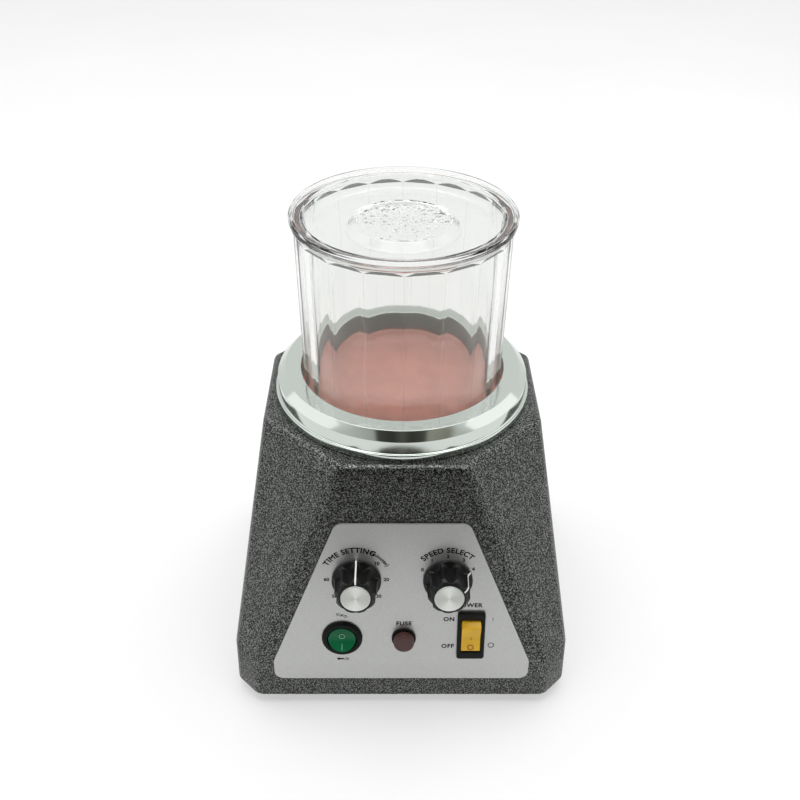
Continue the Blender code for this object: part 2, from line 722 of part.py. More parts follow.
def make_board(axis):
    """The speed control's board across two rails, with its tall parts soldered on."""
    green = material("board_green", (0.02, 0.14, 0.06), 0.5)
    nylon = material("rail_nylon", (0.6, 0.6, 0.57), 0.5)
    low = FLOOR_Z + SHEET + GAP
    deck = low + 0.009
    half, near, far = 0.050, 0.024, 0.080
    board = box("control_board", (-half, near, deck), (half, far, deck + 0.0016), axis, green)
    tall = (
        ("board_transformer", (-0.040, 0.045, 0), (-0.012, 0.072, 0.022)),
        ("board_relay", (0.018, 0.052, 0), (0.040, 0.070, 0.016)),
        ("board_heat_sink", (-0.006, 0.030, 0), (0.030, 0.036, 0.024)),
    )
    for name, first, last in tall:
        base = Vector((0, 0, deck + 0.0008))
        combine(board, box(name, Vector(first) + base, Vector(last) + base, axis), "UNION")
    for name, x in (("board_rail_left", -half + 0.004), ("board_rail_right", half - 0.004)):
        box(name, (x - 0.003, near, low), (x + 0.003, far, deck - GAP), axis, nylon)


def make_underside(axis):
    zinc = material("floor_zinc", (0.5, 0.5, 0.5), 0.45, 0.8)
    rubber = material("foot_rubber", (0.02, 0.02, 0.02), 0.8)
    screw_steel = material("screw_zinc", (0.6, 0.6, 0.58), 0.35, 1.0)
    inside = SHEET + GAP
    outline = cut_corner_square(BASE_HALF - inside - GAP, BASE_CUT)
    floor = plate("bottom_plate", outline, FLOOR_Z, FLOOR_Z + SHEET, axis, zinc)
    for i in range(5):
        x = (i - 2) * 0.014
        corners = [(x - 0.003, -0.03), (x + 0.003, -0.03), (x + 0.003, 0.01), (x - 0.003, 0.01)]
        slot = rounded_outline(corners, 0.0025, 3)
        combine(floor, plate(f"vent_{i + 1}", slot, -0.005, 0.01, axis))
    names = ("front_left", "front_right", "back_right", "back_left")
    signs = ((-1, -1), (1, -1), (1, 1), (-1, 1))
    for name, (sx, sy) in zip(names, signs):
        place = frame(name + "_corner", (sx * FOOT_AT, sy * FOOT_AT, -FOOT_HEIGHT), axis)
        top = FOOT_HEIGHT + FLOOR_Z - GAP
        foot = [
            (0.0024, top),
            (FOOT_R, top),
            (FOOT_R - 0.0015, 0.0006),
            (FOOT_R - 0.0021, 0),
            (0.0048, 0),
            (0.0048, 0.0045),
            (0.0024, 0.0045),
        ]
        turned(f"foot_{name}", foot, place, rubber, steps=20, ring=True)
        screw = [
            (0, FOOT_HEIGHT + FLOOR_Z + SHEET + 0.004),
            (0.0020, FOOT_HEIGHT + FLOOR_Z + SHEET + 0.004),
            (0.0020, 0.0042),
            (0.0040, 0.0042),
            (0.0038, 0.0024),
            (0, 0.0018),
        ]
        turned(f"foot_screw_{name}", screw, place, screw_steel, steps=12)
        combine(floor, cylinder(f"screw_hole_{name}", 0.0024, 0, 0.02, place, sides=12))


def make_inlet(rear):
    """A snap-in appliance inlet with three blades set back in its mouth."""
    seat = frame("inlet_seat", (0, INLET_V, 0), rear)
    black = material("inlet_nylon", (0.015, 0.015, 0.016), 0.4)
    brass = material("plated_brass", (0.7, 0.68, 0.62), 0.3, 1.0)
    face = GAP + 0.0022
    outline = rounded_outline(rectangle(INLET_WIDTH, INLET_HEIGHT), 0.003)
    body = plate("power_inlet", outline, GAP, face, seat, black)
    case = box("inlet_case", (-0.0133, -0.0098, -0.018), (0.0133, 0.0098, 0.001), seat)
    combine(body, case, "UNION")
    mouth = [(0.012, 0.003), (0.007, 0.0082), (-0.007, 0.0082), (-0.012, 0.003)]
    mouth += [(-0.012, -0.0082), (0.012, -0.0082)]
    floor = face - 0.015
    combine(body, plate("inlet_mouth", rounded_outline(mouth, 0.001, 2), floor, 0.01, seat))
    for name, x, y in (("line", 0.007, -0.002), ("neutral", -0.007, -0.002), ("earth", 0, 0.002)):
        low = (x - 0.001, y - 0.002, floor + GAP)
        high = (x + 0.001, y + 0.002, floor + 0.0085)
        box(f"inlet_pin_{name}", low, high, seat, brass)


def main():
    axis = frame("turntable_axis", (0, AXIS_Y, FOOT_HEIGHT))
    tilt = math.pi / 2 - LEAN
    panel = frame("panel_frame", (0, -SKIRT_HALF, SKIRT_Z), axis, (tilt, 0, 0))
    rear = frame("rear_frame", (0, SKIRT_HALF, SKIRT_Z), axis, (tilt, 0, math.pi))
    openings = panel_openings(panel)
    top_hole = cylinder("top_hole", TOP_HOLE_R, TOP_Z - 0.02, TOP_Z + 0.02, axis, sides=48)
    inlet_hole = frame("inlet_hole_frame", (0, INLET_V, 0), rear)
    cutout = plate("inlet_hole", rectangle(*INLET_HOLE), -0.01, 0.01, inlet_hole)
    make_housing(axis, [*openings, top_hole, cutout])
    make_control_panel(axis, openings)
    make_ring(axis)
    make_platform(axis)
    bowl_axis = frame("bowl_axis", (0, 0, 0), axis)
    make_bowl(bowl_axis)
    make_lid(frame("lid_axis", (0, 0, 0), bowl_axis))
    make_controls(panel)
    make_direction_switch(panel)
    make_fuse(panel)
    make_power_switch(panel)
    iron = material("lamination", (0.2, 0.2, 0.21), 0.5, 0.7)
    make_motor(axis, iron)
    make_rotor(axis, iron)
    make_bracket(axis)
    make_board(axis)
    make_underside(axis)
    make_inlet(rear)


clear_scene()
PIECES = collection("magnetic_tumbler")
CUTTERS = collection("cutters")
main()
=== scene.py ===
import json
import math

import bmesh
import bpy
from mathutils import Matrix, Vector, noise


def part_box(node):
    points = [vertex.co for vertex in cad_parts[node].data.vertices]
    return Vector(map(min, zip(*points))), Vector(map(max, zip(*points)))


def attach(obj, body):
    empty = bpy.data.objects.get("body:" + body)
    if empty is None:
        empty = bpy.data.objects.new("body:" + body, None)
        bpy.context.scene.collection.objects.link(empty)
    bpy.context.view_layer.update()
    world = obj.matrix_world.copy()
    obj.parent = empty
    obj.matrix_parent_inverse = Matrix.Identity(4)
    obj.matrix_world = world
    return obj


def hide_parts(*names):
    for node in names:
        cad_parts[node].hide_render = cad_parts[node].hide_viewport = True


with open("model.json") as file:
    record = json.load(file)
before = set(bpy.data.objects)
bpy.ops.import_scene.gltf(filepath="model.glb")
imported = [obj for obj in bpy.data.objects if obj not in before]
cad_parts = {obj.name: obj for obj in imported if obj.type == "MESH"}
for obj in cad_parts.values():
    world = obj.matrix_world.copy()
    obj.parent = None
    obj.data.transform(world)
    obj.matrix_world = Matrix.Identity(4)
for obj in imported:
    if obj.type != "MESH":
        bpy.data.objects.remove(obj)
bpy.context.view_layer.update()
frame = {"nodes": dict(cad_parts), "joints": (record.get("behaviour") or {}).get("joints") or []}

# datums from the frame, in metres
gap = 0.0003                     # between neighbouring pieces
panelSheet = 0.001
panelFace = gap + panelSheet     # how far the panel's face stands off the housing
axisY = sum(corner.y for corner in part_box("bowl_ring")) / 2
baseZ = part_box("housing")[0].z
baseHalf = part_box("housing")[1].x
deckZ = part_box("bowl_ring")[0].z - gap
drawAxis = next(joint["axis"] for joint in frame["joints"] if joint["name"] == "fuse_draw")
lean = math.asin(Vector(drawAxis).z)    # of the sloped faces, away from upright
sharpAngle = math.radians(30)
mathNode = "ShaderNodeMath"

housing = {
    "baseCut": 0.0138, "skirtHalf": 0.0995, "skirtCut": 0.0148, "skirtHeight": 0.0284,
    "topHalf": 0.079, "topCut": 0.0449, "sheet": 0.0015, "fold": 0.0032, "foldSteps": 6,
    "topHole": 0.054, "inletHole": (0.0272, 0.0202), "holeDepth": 0.01, "sharp": 24,
}
skirtZ = baseZ + housing["skirtHeight"]
creaseFront = Vector((0, axisY - housing["skirtHalf"], skirtZ))
creaseBack = Vector((0, axisY + housing["skirtHalf"], skirtZ))
axisMatrix = Matrix.Translation((0, axisY, baseZ))    # turntable axis at the housing's lower edge


def panelMatrix(u=0.0, v=0.0, out=0.0, turn=0.0, back=False):
    # x across, y up the sloped face, z straight out of it
    start = creaseBack if back else creaseFront
    facing = Matrix.Rotation(math.pi if back else 0.0, 4, "Z")
    tilt = Matrix.Rotation(math.pi / 2 - lean, 4, "X")
    spin = Matrix.Rotation(math.radians(turn), 4, "Z")
    return Matrix.Translation(start) @ facing @ tilt @ Matrix.Translation((u, v, out)) @ spin


print("frame read: lean", round(math.degrees(lean), 2), "axisY", round(axisY, 5))


def srgb(hexColour):
    parts = [int(hexColour[i:i + 2], 16) / 255 for i in (1, 3, 5)]
    return (*[c / 12.92 if c <= 0.04045 else ((c + 0.055) / 1.055) ** 2.4 for c in parts], 1.0)


def darker(hexColour, share):
    return "#" + "".join(f"{int(int(hexColour[i:i + 2], 16) * share):02X}" for i in (1, 3, 5))


def feed(tree, node, values):
    # a socket, or a node's first output, is linked to the input; anything else is its value
    for name, value in values.items() if isinstance(values, dict) else enumerate(values):
        if isinstance(value, bpy.types.Node):
            value = value.outputs[0]
        if isinstance(value, bpy.types.NodeSocket):
            tree.links.new(value, node.inputs[name])
        else:
            node.inputs[name].default_value = value


def addNode(tree, kind, values=None, stops=(), **settings):
    # stops are a colour ramp's places and colours, from low to high
    made = tree.nodes.new(kind)
    for name, value in settings.items():
        setattr(made, name, value)
    feed(tree, made, values or {})
    for i, (place, colour) in enumerate(stops):
        elements = made.color_ramp.elements
        element = elements[i] if i < len(elements) else elements.new(place)
        element.position = place
        element.color = srgb(colour)
    return made


def startMaterial(name, values):
    mat = bpy.data.materials.new(name)
    mat.use_nodes = True
    tree = mat.node_tree
    surface = tree.nodes["Principled BSDF"]
    feed(tree, surface, values)
    return mat, tree, surface


def patterned(name, values, pattern, stops=(), relief=None, kind="ShaderNodeTexNoise"):
    # one pattern on Object coordinates; it sets the colour by its stops, and the relief by a
    # depth in metres and a strength
    mat, tree, surface = startMaterial(name, values)
    place = addNode(tree, "ShaderNodeTexCoord").outputs["Object"]
    source = addNode(tree, kind, {"Vector": place, **pattern}).outputs["Fac"]
    if stops:
        feed(tree, surface, {"Base Color": addNode(tree, "ShaderNodeValToRGB", [source], stops)})
    if relief:
        raised = {"Height": source, "Distance": relief[0], "Strength": relief[1]}
        feed(tree, surface, {"Normal": addNode(tree, "ShaderNodeBump", raised)})
    return mat


def arc(cx, cy, radius, start, end, steps):
    turns = [math.radians(start + (end - start) * i / steps) for i in range(steps + 1)]
    return [(cx + radius * math.cos(turn), cy + radius * math.sin(turn)) for turn in turns]


def filleted(points, radius=0.0, closed=False, steps=3):
    # rounds the corners of a profile; a point (x, y, r) has its own radius
    straight = 1.56    # half a corner's angle, in radians, from which it needs no arc
    made = []
    for i, point in enumerate(points):
        corner = Vector(point[:2])
        wanted = point[2] if len(point) > 2 else radius
        before = Vector(points[i - 1][:2]) - corner
        after = Vector(points[(i + 1) % len(points)][:2]) - corner
        half = before.angle(after, 0) / 2
        if not wanted or half > straight or (not closed and i in (0, len(points) - 1)):
            made.append(tuple(corner))
            continue
        reach = min(wanted / math.tan(half), 0.48 * min(before.length, after.length))
        middle = (before.normalized() + after.normalized()).normalized()
        centre = corner + middle * reach / math.cos(half)
        spoke = corner + before.normalized() * reach - centre
        end = corner + after.normalized() * reach - centre
        sweep = math.atan2(spoke.cross(end), spoke.dot(end))
        for k in range(steps + 1):
            turn = Matrix.Rotation(sweep * k / steps, 2)
            made.append(tuple(centre + turn @ spoke))
    return made


def rectangle(width, height):
    x, y = width / 2, height / 2
    return [(-x, -y), (x, -y), (x, y), (-x, y)]


def roundedRectangle(width, height, corner, steps):
    return filleted(rectangle(width, height), corner, True, steps)


def cutCornerSquare(half, cut):
    near = half - cut
    flat = [(half, -near), (half, near), (near, half), (-near, half)]
    return flat + [(-x, -y) for x, y in flat]


def addObject(name, data):
    obj = bpy.data.objects.new(name, data)
    bpy.context.scene.collection.objects.link(obj)
    return obj


def evaluatedMesh(obj):
    bpy.context.view_layer.update()
    graph = bpy.context.evaluated_depsgraph_get()
    return bpy.data.meshes.new_from_object(obj.evaluated_get(graph))


def newPiece(name, bm, mat, place=None):
    mesh = bpy.data.meshes.new(name)
    bm.to_mesh(mesh)
    bm.free()
    obj = addObject(name, mesh)
    if mat:
        mesh.materials.append(mat)
    if place:
        mesh.transform(place)
    mesh.shade_smooth()
    mesh.set_sharp_from_angle(angle=sharpAngle)
    return obj


def settle(obj, findSharp=True):
    # live modifiers become one plain mesh
    mesh = evaluatedMesh(obj)
    old = obj.data
    obj.modifiers.clear()
    obj.data = mesh
    mesh.name = obj.name
    bpy.data.meshes.remove(old)
    mesh.shade_smooth()
    if findSharp:
        mesh.set_sharp_from_angle(angle=sharpAngle)


def addModifier(obj, kind, **settings):
    step = obj.modifiers.new(kind.lower(), kind)
    for name, value in settings.items():
        setattr(step, name, value)
    return step


def soften(obj, width, segments, angle):
    addModifier(obj, "BEVEL", width=width, segments=segments, limit_method="ANGLE",
                angle_limit=math.radians(angle))
    settle(obj)


def evenNormals(obj):
    # large faces keep their own normal, so that the shading turns only within the rounded edges
    addModifier(obj, "WEIGHTED_NORMAL", mode="FACE_AREA", weight=100, keep_sharp=True)
    settle(obj, False)


def carve(obj, tools, operation="DIFFERENCE"):
    for bm, place in tools:
        tool = newPiece("tool", bm, None, place)
        addModifier(obj, "BOOLEAN", operation=operation, solver="EXACT", object=tool)
        settle(obj, False)
        bpy.data.objects.remove(tool)


def turned(profile, steps=128, ring=False, degrees=None):
    # (radius, height) points from the top down the outer side; a ring's profile closes on itself
    bm = bmesh.new()
    columns = []
    degrees = degrees or [90 + 360 * i / steps for i in range(steps)]
    for i, turn in enumerate(map(math.radians, degrees)):
        columns.append([
            bm.verts.new((r * math.cos(turn), r * math.sin(turn), z)) if r > 1e-7 or i == 0
            else columns[0][j] for j, (r, z) in enumerate(profile)
        ])
    last = len(profile) if ring else len(profile) - 1
    for a, b in zip(columns, columns[1:] + columns[:1]):
        for j in range(last):
            k = (j + 1) % len(profile)
            # a point on the axis counts once
            face = list(dict.fromkeys((a[j], a[k], b[k], b[j])))
            if len(face) > 2:
                bm.faces.new(face)
    bmesh.ops.recalc_face_normals(bm, faces=bm.faces)
    return bm


def meshOfCurve(curve):
    drawn = addObject(curve.name, curve)
    mesh = evaluatedMesh(drawn)
    bm = bmesh.new()
    bm.from_mesh(mesh)
    bpy.data.objects.remove(drawn)
    bpy.data.meshes.remove(mesh)
    bpy.data.curves.remove(curve)
    bmesh.ops.remove_doubles(bm, verts=bm.verts, dist=0.000002)
    bmesh.ops.recalc_face_normals(bm, faces=bm.faces)
    return bm


def outlineSolid(outline, low, high, edge=0.0, holes=()):
    # a flat outline given thickness, its long edges rounded
    curve = bpy.data.curves.new("outline", "CURVE")
    curve.dimensions = "2D"
    curve.fill_mode = "BOTH"
    curve.extrude = (high - low) / 2 - edge
    curve.bevel_depth = edge
    curve.bevel_resolution = 2 if edge else 0
    curve.offset = -edge
    for points in (outline, *holes):
        spline = curve.splines.new("POLY")
        spline.points.add(len(points) - 1)
        for point, (x, y) in zip(spline.points, points):
            point.co = (x, y, 0, 1)
        spline.use_cyclic_u = True
    bm = meshOfCurve(curve)
    bmesh.ops.translate(bm, vec=(0, 0, (low + high) / 2), verts=bm.verts)
    return bm


def boxSolid(low, high):
    bm = bmesh.new()
    bmesh.ops.create_cube(bm, size=1)
    low, high = Vector(low), Vector(high)
    bmesh.ops.scale(bm, vec=high - low, verts=bm.verts)
    bmesh.ops.translate(bm, vec=(low + high) / 2, verts=bm.verts)
    return bm


def rodSolid(radius, low, high, sides=48):
    return turned([(0, high), (radius, high), (radius, low), (0, low)], sides)


def gathered(name, shapes):
    # solids or flat shapes, each with its place or None, put together as one
    whole = bmesh.new()
    for bm, place in shapes:
        mesh = bpy.data.meshes.new(name)
        bm.to_mesh(mesh)
        bm.free()
        if place:
            mesh.transform(place)
        whole.from_mesh(mesh)
        bpy.data.meshes.remove(mesh)
    return whole


def handOver(obj, body, slotName, *nodes):
    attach(obj, body)
    if nodes:
        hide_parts(*nodes)


def makePolishedAluminium():
    # turned and polished aluminium: a mirror that still shows faint turning lines round its axis;
    # the bore was turned but never polished
    mat, tree, surface = startMaterial("polishedAluminium", {
        "Metallic": 1.0, "Roughness": 0.07, "Base Color": srgb("#CBD1CC")})
    place = addNode(tree, "ShaderNodeTexCoord").outputs["Object"]
    centred = addNode(tree, "ShaderNodeMapping", {"Vector": place, "Location": (0, -axisY, 0)})
    flat = addNode(tree, "ShaderNodeVectorMath", {0: centred, 1: (1, 1, 0)},
                   operation="MULTIPLY")
    radius = addNode(tree, "ShaderNodeVectorMath", {0: flat}, operation="LENGTH")
    lines = addNode(tree, "ShaderNodeTexNoise", {"W": radius.outputs["Value"], "Scale": 3000.0},
                    noise_dimensions="1D")
    cloud = addNode(tree, "ShaderNodeTexNoise", {"Vector": place, "Scale": 60.0, "Detail": 3.0})
    shine = addNode(tree, "ShaderNodeMapRange", {
        "Value": cloud, "To Min": 0.05, "To Max": 0.14})
    dull = addNode(tree, "ShaderNodeMapRange", {
        "Value": radius.outputs["Value"], "From Min": 0.0595, "From Max": 0.0599,
        "To Min": 0.5, "To Max": shine})
    relief = addNode(tree, "ShaderNodeBump", {
        "Height": lines, "Distance": 0.000012, "Strength": 0.4})
    feed(tree, surface, {"Roughness": dull, "Normal": relief})
    return mat


def makeSpunAluminium():
    # cap discs spun and brushed on the lathe: fine rings that fan the light into two cones
    mat, tree, surface = startMaterial("spunAluminium", {
        "Metallic": 1.0, "Roughness": 0.3, "Anisotropic": 0.85})
    polar = addNode(tree, "ShaderNodeUVMap", uv_map="polar")
    split = addNode(tree, "ShaderNodeSeparateXYZ", {"Vector": polar})
    rings = addNode(tree, "ShaderNodeTexNoise", {
        "W": split.outputs["Y"], "Scale": 260.0, "Detail": 2.0}, noise_dimensions="1D")
    colour = addNode(tree, "ShaderNodeValToRGB", {"Fac": rings},
                     [(0.3, "#C6C9C4"), (0.7, "#DDDFDB")])
    along = addNode(tree, "ShaderNodeTangent", direction_type="UV_MAP", uv_map="polar")
    relief = addNode(tree, "ShaderNodeBump", {
        "Height": rings, "Distance": 0.00002, "Strength": 0.5})
    feed(tree, surface, {"Base Color": colour, "Tangent": along, "Normal": relief})
    return mat


def makeClearAcrylic(name, roughness, colour, ior):
    # clear acrylic: almost colourless, polished, faint moulding waves in the wall
    return patterned(name, {
        "Roughness": roughness, "IOR": ior, "Transmission Weight": 1.0, "Base Color": srgb(colour),
    }, {"Scale": 45.0, "Detail": 1.0}, relief=(0.0006, 0.12))


def patchy(tree, surface, patches, height, relief, colours, gloss):
    # patches move the colour and the roughness between two values each; height is the relief
    tint = addNode(tree, "ShaderNodeValToRGB", {"Fac": patches}, list(zip((0.35, 0.65), colours)))
    worn = addNode(tree, "ShaderNodeMapRange", {
        "Value": patches, "To Min": gloss[0], "To Max": gloss[1]})
    raised = addNode(tree, "ShaderNodeBump", {
        "Height": height, "Distance": relief[0], "Strength": relief[1]})
    feed(tree, surface, {"Base Color": tint, "Roughness": worn, "Normal": raised})


def makePlastic(name, colour, roughness, mottle=0.04, grain=1500.0, **values):
    # moulded plastics: one colour, a fine spark-eroded skin and a trace of mottle
    mat, tree, surface = startMaterial(name, {"Roughness": roughness, **values})
    place = addNode(tree, "ShaderNodeTexCoord").outputs["Object"]
    skin = addNode(tree, "ShaderNodeTexNoise", {"Vector": place, "Scale": grain, "Detail": 2.0})
    cloud = addNode(tree, "ShaderNodeTexNoise", {"Vector": place, "Scale": 90.0, "Detail": 3.0})
    patchy(tree, surface, cloud, skin, (0.00003, 0.5),
           (darker(colour, 1 - 2 * mottle), colour), (roughness * 0.9, min(1, roughness * 1.15)))
    return mat


def makeMetal(name, colour, roughness, stretch=(1, 1, 1), scale=600.0):
    # plain machined or plated metals: roughness varies in streaks or patches
    mat, tree, surface = startMaterial(name, {"Metallic": 1.0, "Roughness": roughness})
    place = addNode(tree, "ShaderNodeTexCoord").outputs["Object"]
    drawn = addNode(tree, "ShaderNodeMapping", {"Vector": place, "Scale": stretch})
    patch = addNode(tree, "ShaderNodeTexNoise", {
        "Vector": drawn, "Scale": scale, "Detail": 4.0})
    patchy(tree, surface, patch, patch, (0.00002, 0.4),
           (darker(colour, 0.88), colour), (roughness * 0.8, min(1, roughness * 1.3)))
    return mat


# hammertone stoving enamel on folded steel: silicone pits in a grey metallic film,
# so light grey lumps about a millimetre wide stand between dark pits
hammertone = patterned(
    "hammertoneEnamel", {"Metallic": 0.6, "Roughness": 0.34},
    {"Scale": 1350.0, "Detail": 1.0, "Roughness": 0.6, "Distortion": 0.6},
    [(0.42, "#030303"), (0.49, "#242524"), (0.54, "#4E504E"), (0.61, "#848784")], (0.0002, 0.6))
# silver-grey lacquer on thin aluminium sheet: even, satin, a faint orange peel
panelSilver = patterned(
    "satinSilverLacquer", {"Metallic": 0.75, "Roughness": 0.33}, {"Scale": 900.0, "Detail": 3.0},
    [(0.3, "#B6B7B6"), (0.7, "#BFC0BF")], (0.00003, 0.5))
polished = makePolishedAluminium()
spun = makeSpunAluminium()
acrylic = makeClearAcrylic("castAcrylic", 0.015, "#F4F5F4", 1.3)
bowlAcrylic = makeClearAcrylic("mouldedAcrylic", 0.05, "#F4F5F4", 1.4)
# cast nylon drive plate, satin
salmonNylon = makePlastic("salmonNylon", "#FFA894", 0.42, 0.02, 700.0)
# compression moulded knobs, glossy
phenolic = makePlastic("blackPhenolic", "#0B0B0B", 0.36, grain=900.0, IOR=1.38)
# switch bezels, fine matt texture
bezelNylon = makePlastic("blackNylon", "#0C0D0C", 0.5, IOR=1.28)
bezelGreen = makePlastic("darkGreenNylon", "#070D0A", 0.5, IOR=1.25)
# tinted rockers, slightly milky
rockerGreen = makePlastic("greenPolycarbonate", "#016A3E", 0.3, 0.08, IOR=1.35)
rockerYellow = makePlastic("yellowPolycarbonate", "#F0BC22", 0.34, 0.03, IOR=1.38)
fuseBrown = makePlastic("brownPhenolic", "#4C2B28", 0.45)
# printed marks are dead flat, and the knobs' lines are filled with paint
blackInk = makePlastic("blackScreenInk", "#0C0C0C", 0.6, IOR=1.3)
whiteInk = makePlastic("whitePaint", "#EDEFEC", 0.5, 0.01)
markBrown = makePlastic("brownInk", "#9A5A1E", 0.5)
markGreen = makePlastic("paleGreenInk", "#9CCDB0", 0.5)
# painted shade: grey crescents where the bowl's facets run out; painted highlight: pale lines down
# its corners
crescentShadePaint = makePlastic("paintedCrescentShade", "#6E7070", 0.6, Alpha=0.8)
cornerHighlightPaint = makePlastic("paintedCornerHighlight", "#F6F7F6", 0.6, Alpha=0.22)
# moulded rubber, dull; bright zinc plate; plated contacts, slightly warm
rubber = makePlastic("footRubber", "#1A1A1A", 0.8, grain=700.0)
zincScrew = makeMetal("zincScrew", "#B9BBB6", 0.33)
plated = makeMetal("nickelledBrass", "#CFC8B2", 0.28)
print("finishes ready")


panel = {
    "topHalf": 0.037, "topV": 0.0974, "sideHalf": 0.075, "sideV": 0.002, "drop": 0.0125,
    "corner": 0.0055, "cornerSteps": 10, "bendRadius": 0.002, "bendSteps": 4, "edge": 0.0003,
    "spare": 0.005, "knobHole": 0.005, "directionHole": 0.0103, "fuseHole": 0.0066,
    "powerHole": (0.0146, 0.0296), "holeDepth": 0.012,
}


def makeHousing():
    h = housing
    levels = (
        (baseHalf, h["baseCut"], 0),
        (h["skirtHalf"], h["skirtCut"], h["skirtHeight"]),
        (h["topHalf"], h["topCut"], deckZ - baseZ),
    )
    bm = bmesh.new()
    weight = bm.edges.layers.float.new("bevel_weight_edge")
    rings = [[bm.verts.new((x, y, z)) for x, y in cutCornerSquare(half, cut)]
             for half, cut, z in levels]
    for low, high in zip(rings, rings[1:]):
        for i in range(8):
            bm.faces.new((low[i], low[i - 7], high[i - 7], high[i]))
    bm.faces.new(rings[-1])
    for edge in bm.edges:
        # folds run up the body and round its top, not along the crease or the open bottom
        ends = [vert.co.z for vert in edge.verts]
        edge[weight] = float(ends[0] != ends[1] or min(ends) > h["skirtHeight"] + gap)
    obj = newPiece("housing_shell", bm, hammertone)
    addModifier(obj, "BEVEL", width=h["fold"], segments=h["foldSteps"], limit_method="WEIGHT")
    addModifier(obj, "SOLIDIFY", thickness=h["sheet"], offset=-1, use_even_offset=True)
    settle(obj)
    obj.data.transform(axisMatrix)
    deep = h["holeDepth"]
    mouth = outlineSolid(rectangle(*h["inletHole"]), -deep, deep)
    carve(obj, [
        (rodSolid(h["topHole"], -deep, deep, 96), Matrix.Translation((0, axisY, deckZ))),
        (mouth, panelMatrix(0, inlet["v"], back=True)), *panelHoles()])
    obj.data.shade_smooth()
    obj.data.set_sharp_from_angle(angle=math.radians(h["sharp"]))
    evenNormals(obj)
    handOver(obj, "root", "hammertone", "housing")


def panelHoles():
    p, deep = panel, panel["holeDepth"]
    holes = []
    for u, v, radius, sides in (
            (-knob["u"], knob["v"], p["knobHole"], 48), (knob["u"], knob["v"], p["knobHole"], 48),
            (direction["u"], direction["v"], p["directionHole"], 64),
            (fuse["u"], fuse["v"], p["fuseHole"], 48)):
        holes.append((rodSolid(radius, -deep, deep, sides), panelMatrix(u, v)))
    slot = outlineSolid(roundedRectangle(*p["powerHole"], 0.001, 3), -deep, deep)
    return [*holes, (slot, panelMatrix(power["u"], power["v"]))]


def makePanel():
    # one sheet bent over the crease of the skirt, then trimmed to its outline
    p = panel
    lift = gap / math.cos(lean)
    half, height = housing["skirtHalf"], housing["skirtHeight"]
    run = (baseHalf - half) / height
    lowZ = height - p["drop"] - p["spare"]
    highV, reach = p["topV"] + p["spare"], p["sideHalf"] + p["spare"]
    folds = [
        (-half - (height - lowZ) * run - lift, lowZ),
        (-half - lift, height),
        (-half + highV * math.sin(lean) - lift, height + highV * math.cos(lean)),
    ]
    bm = bmesh.new()
    rows = [[bm.verts.new((x, y, z)) for x in (-reach, reach)] for y, z in folds]
    for low, high in zip(rows, rows[1:]):
        bm.faces.new((low[0], low[1], high[1], high[0]))
    obj = newPiece("control_panel_sheet", bm, panelSilver)
    addModifier(obj, "BEVEL", width=p["bendRadius"], segments=p["bendSteps"],
                angle_limit=math.radians(3))
    addModifier(obj, "SOLIDIFY", thickness=panelSheet, offset=1, use_even_offset=True)
    settle(obj)
    obj.data.transform(axisMatrix)
    lowEnd, topEnd = height - p["drop"], height + p["topV"] * math.cos(lean)
    shoulder = height + p["sideV"] * math.cos(lean)
    outline = filleted([
        (-p["sideHalf"], lowEnd), (p["sideHalf"], lowEnd), (p["sideHalf"], shoulder),
        (p["topHalf"], topEnd), (-p["topHalf"], topEnd), (-p["sideHalf"], shoulder),
    ], p["corner"], True, p["cornerSteps"])
    upright = axisMatrix @ Matrix.Translation((0, -half, 0)) @ Matrix.Rotation(math.pi / 2, 4, "X")
    carve(obj, [(outlineSolid(outline, -0.03, 0.03), upright)], "INTERSECT")
    carve(obj, panelHoles())
    soften(obj, p["edge"], 2, 50)
    evenNormals(obj)
    handOver(obj, "root", "panel_silver", "control_panel")


legend = {
    "height": 0.0046, "small": 0.0039, "tiny": 0.0031, "bold": 0.036, "lift": 0.00004,
    "arcRadius": 0.0200, "arcSpacing": 1.1, "wordSpacing": 1.12,
    "dialRadius": 0.0160, "wider": 0.0008,    # long numbers at the sides stand further out
    "arcs": (("TIME SETTING", "height", -1, -14), ("(minutes)", "tiny", -1, 43),
             ("SPEED SELECT", "height", 1, -2)),    # words, size, knob's side, degrees from the top
    "dials": ((-1, ((10, 46), (20, 89), (30, 132), (40, 180), (50, -132), (60, -89))),
              (1, ((0, -64), (1, -35), (2, -1), (3, 32), (4, 62)))),
    "fuseV": 0.0294,
    "words": (("POWER", 0.0386, 0.0424), ("ON", 0.0271, 0.0325), ("OFF", 0.0268, 0.0130)),
    "onBar": (0.00035, 0.0024), "onAt": (0.0524, 0.0326),
    "offRing": (0.00185, 0.0014), "offAt": (0.0520, 0.0138),
    "arrows": ((-0.0362, 0.0357, 152, True), (-0.0329, 0.0349, -28, True),
               (-0.0361, 0.0037, 180, False), (-0.0325, 0.0037, 0, True)),    # place, turn, hollow
}


def textMesh(words, size, bend=None, centre=0.0, spacing=1.0):
    # flat letters centred on the origin, or bent round an arc of the given radius
    curve = bpy.data.curves.new(words, "FONT")
    curve.body = words
    curve.size = size
    curve.bevel_depth = legend["bold"] * size
    curve.bevel_resolution = 0
    curve.space_character = spacing
    curve.align_x = "CENTER"
    curve.align_y = "CENTER"
    curve.resolution_u = 4
    bm = meshOfCurve(curve)
    for vert in bm.verts:
        vert.co.z = 0
        if bend:
            turn = math.radians(90 - centre) - vert.co.x / bend
            reach = bend + vert.co.y
            vert.co = (reach * math.cos(turn), reach * math.sin(turn), 0)
    return bm


def flatShape(outline, holes=()):
    # the upper face alone of a thin solid
    thin = 0.0001
    bm = outlineSolid(outline, 0, thin, holes=holes)
    under = [face for face in bm.faces if face.normal.z < 0.5]
    bmesh.ops.delete(bm, geom=under, context="FACES")
    bmesh.ops.translate(bm, vec=(0, 0, -thin), verts=bm.verts)
    return bm


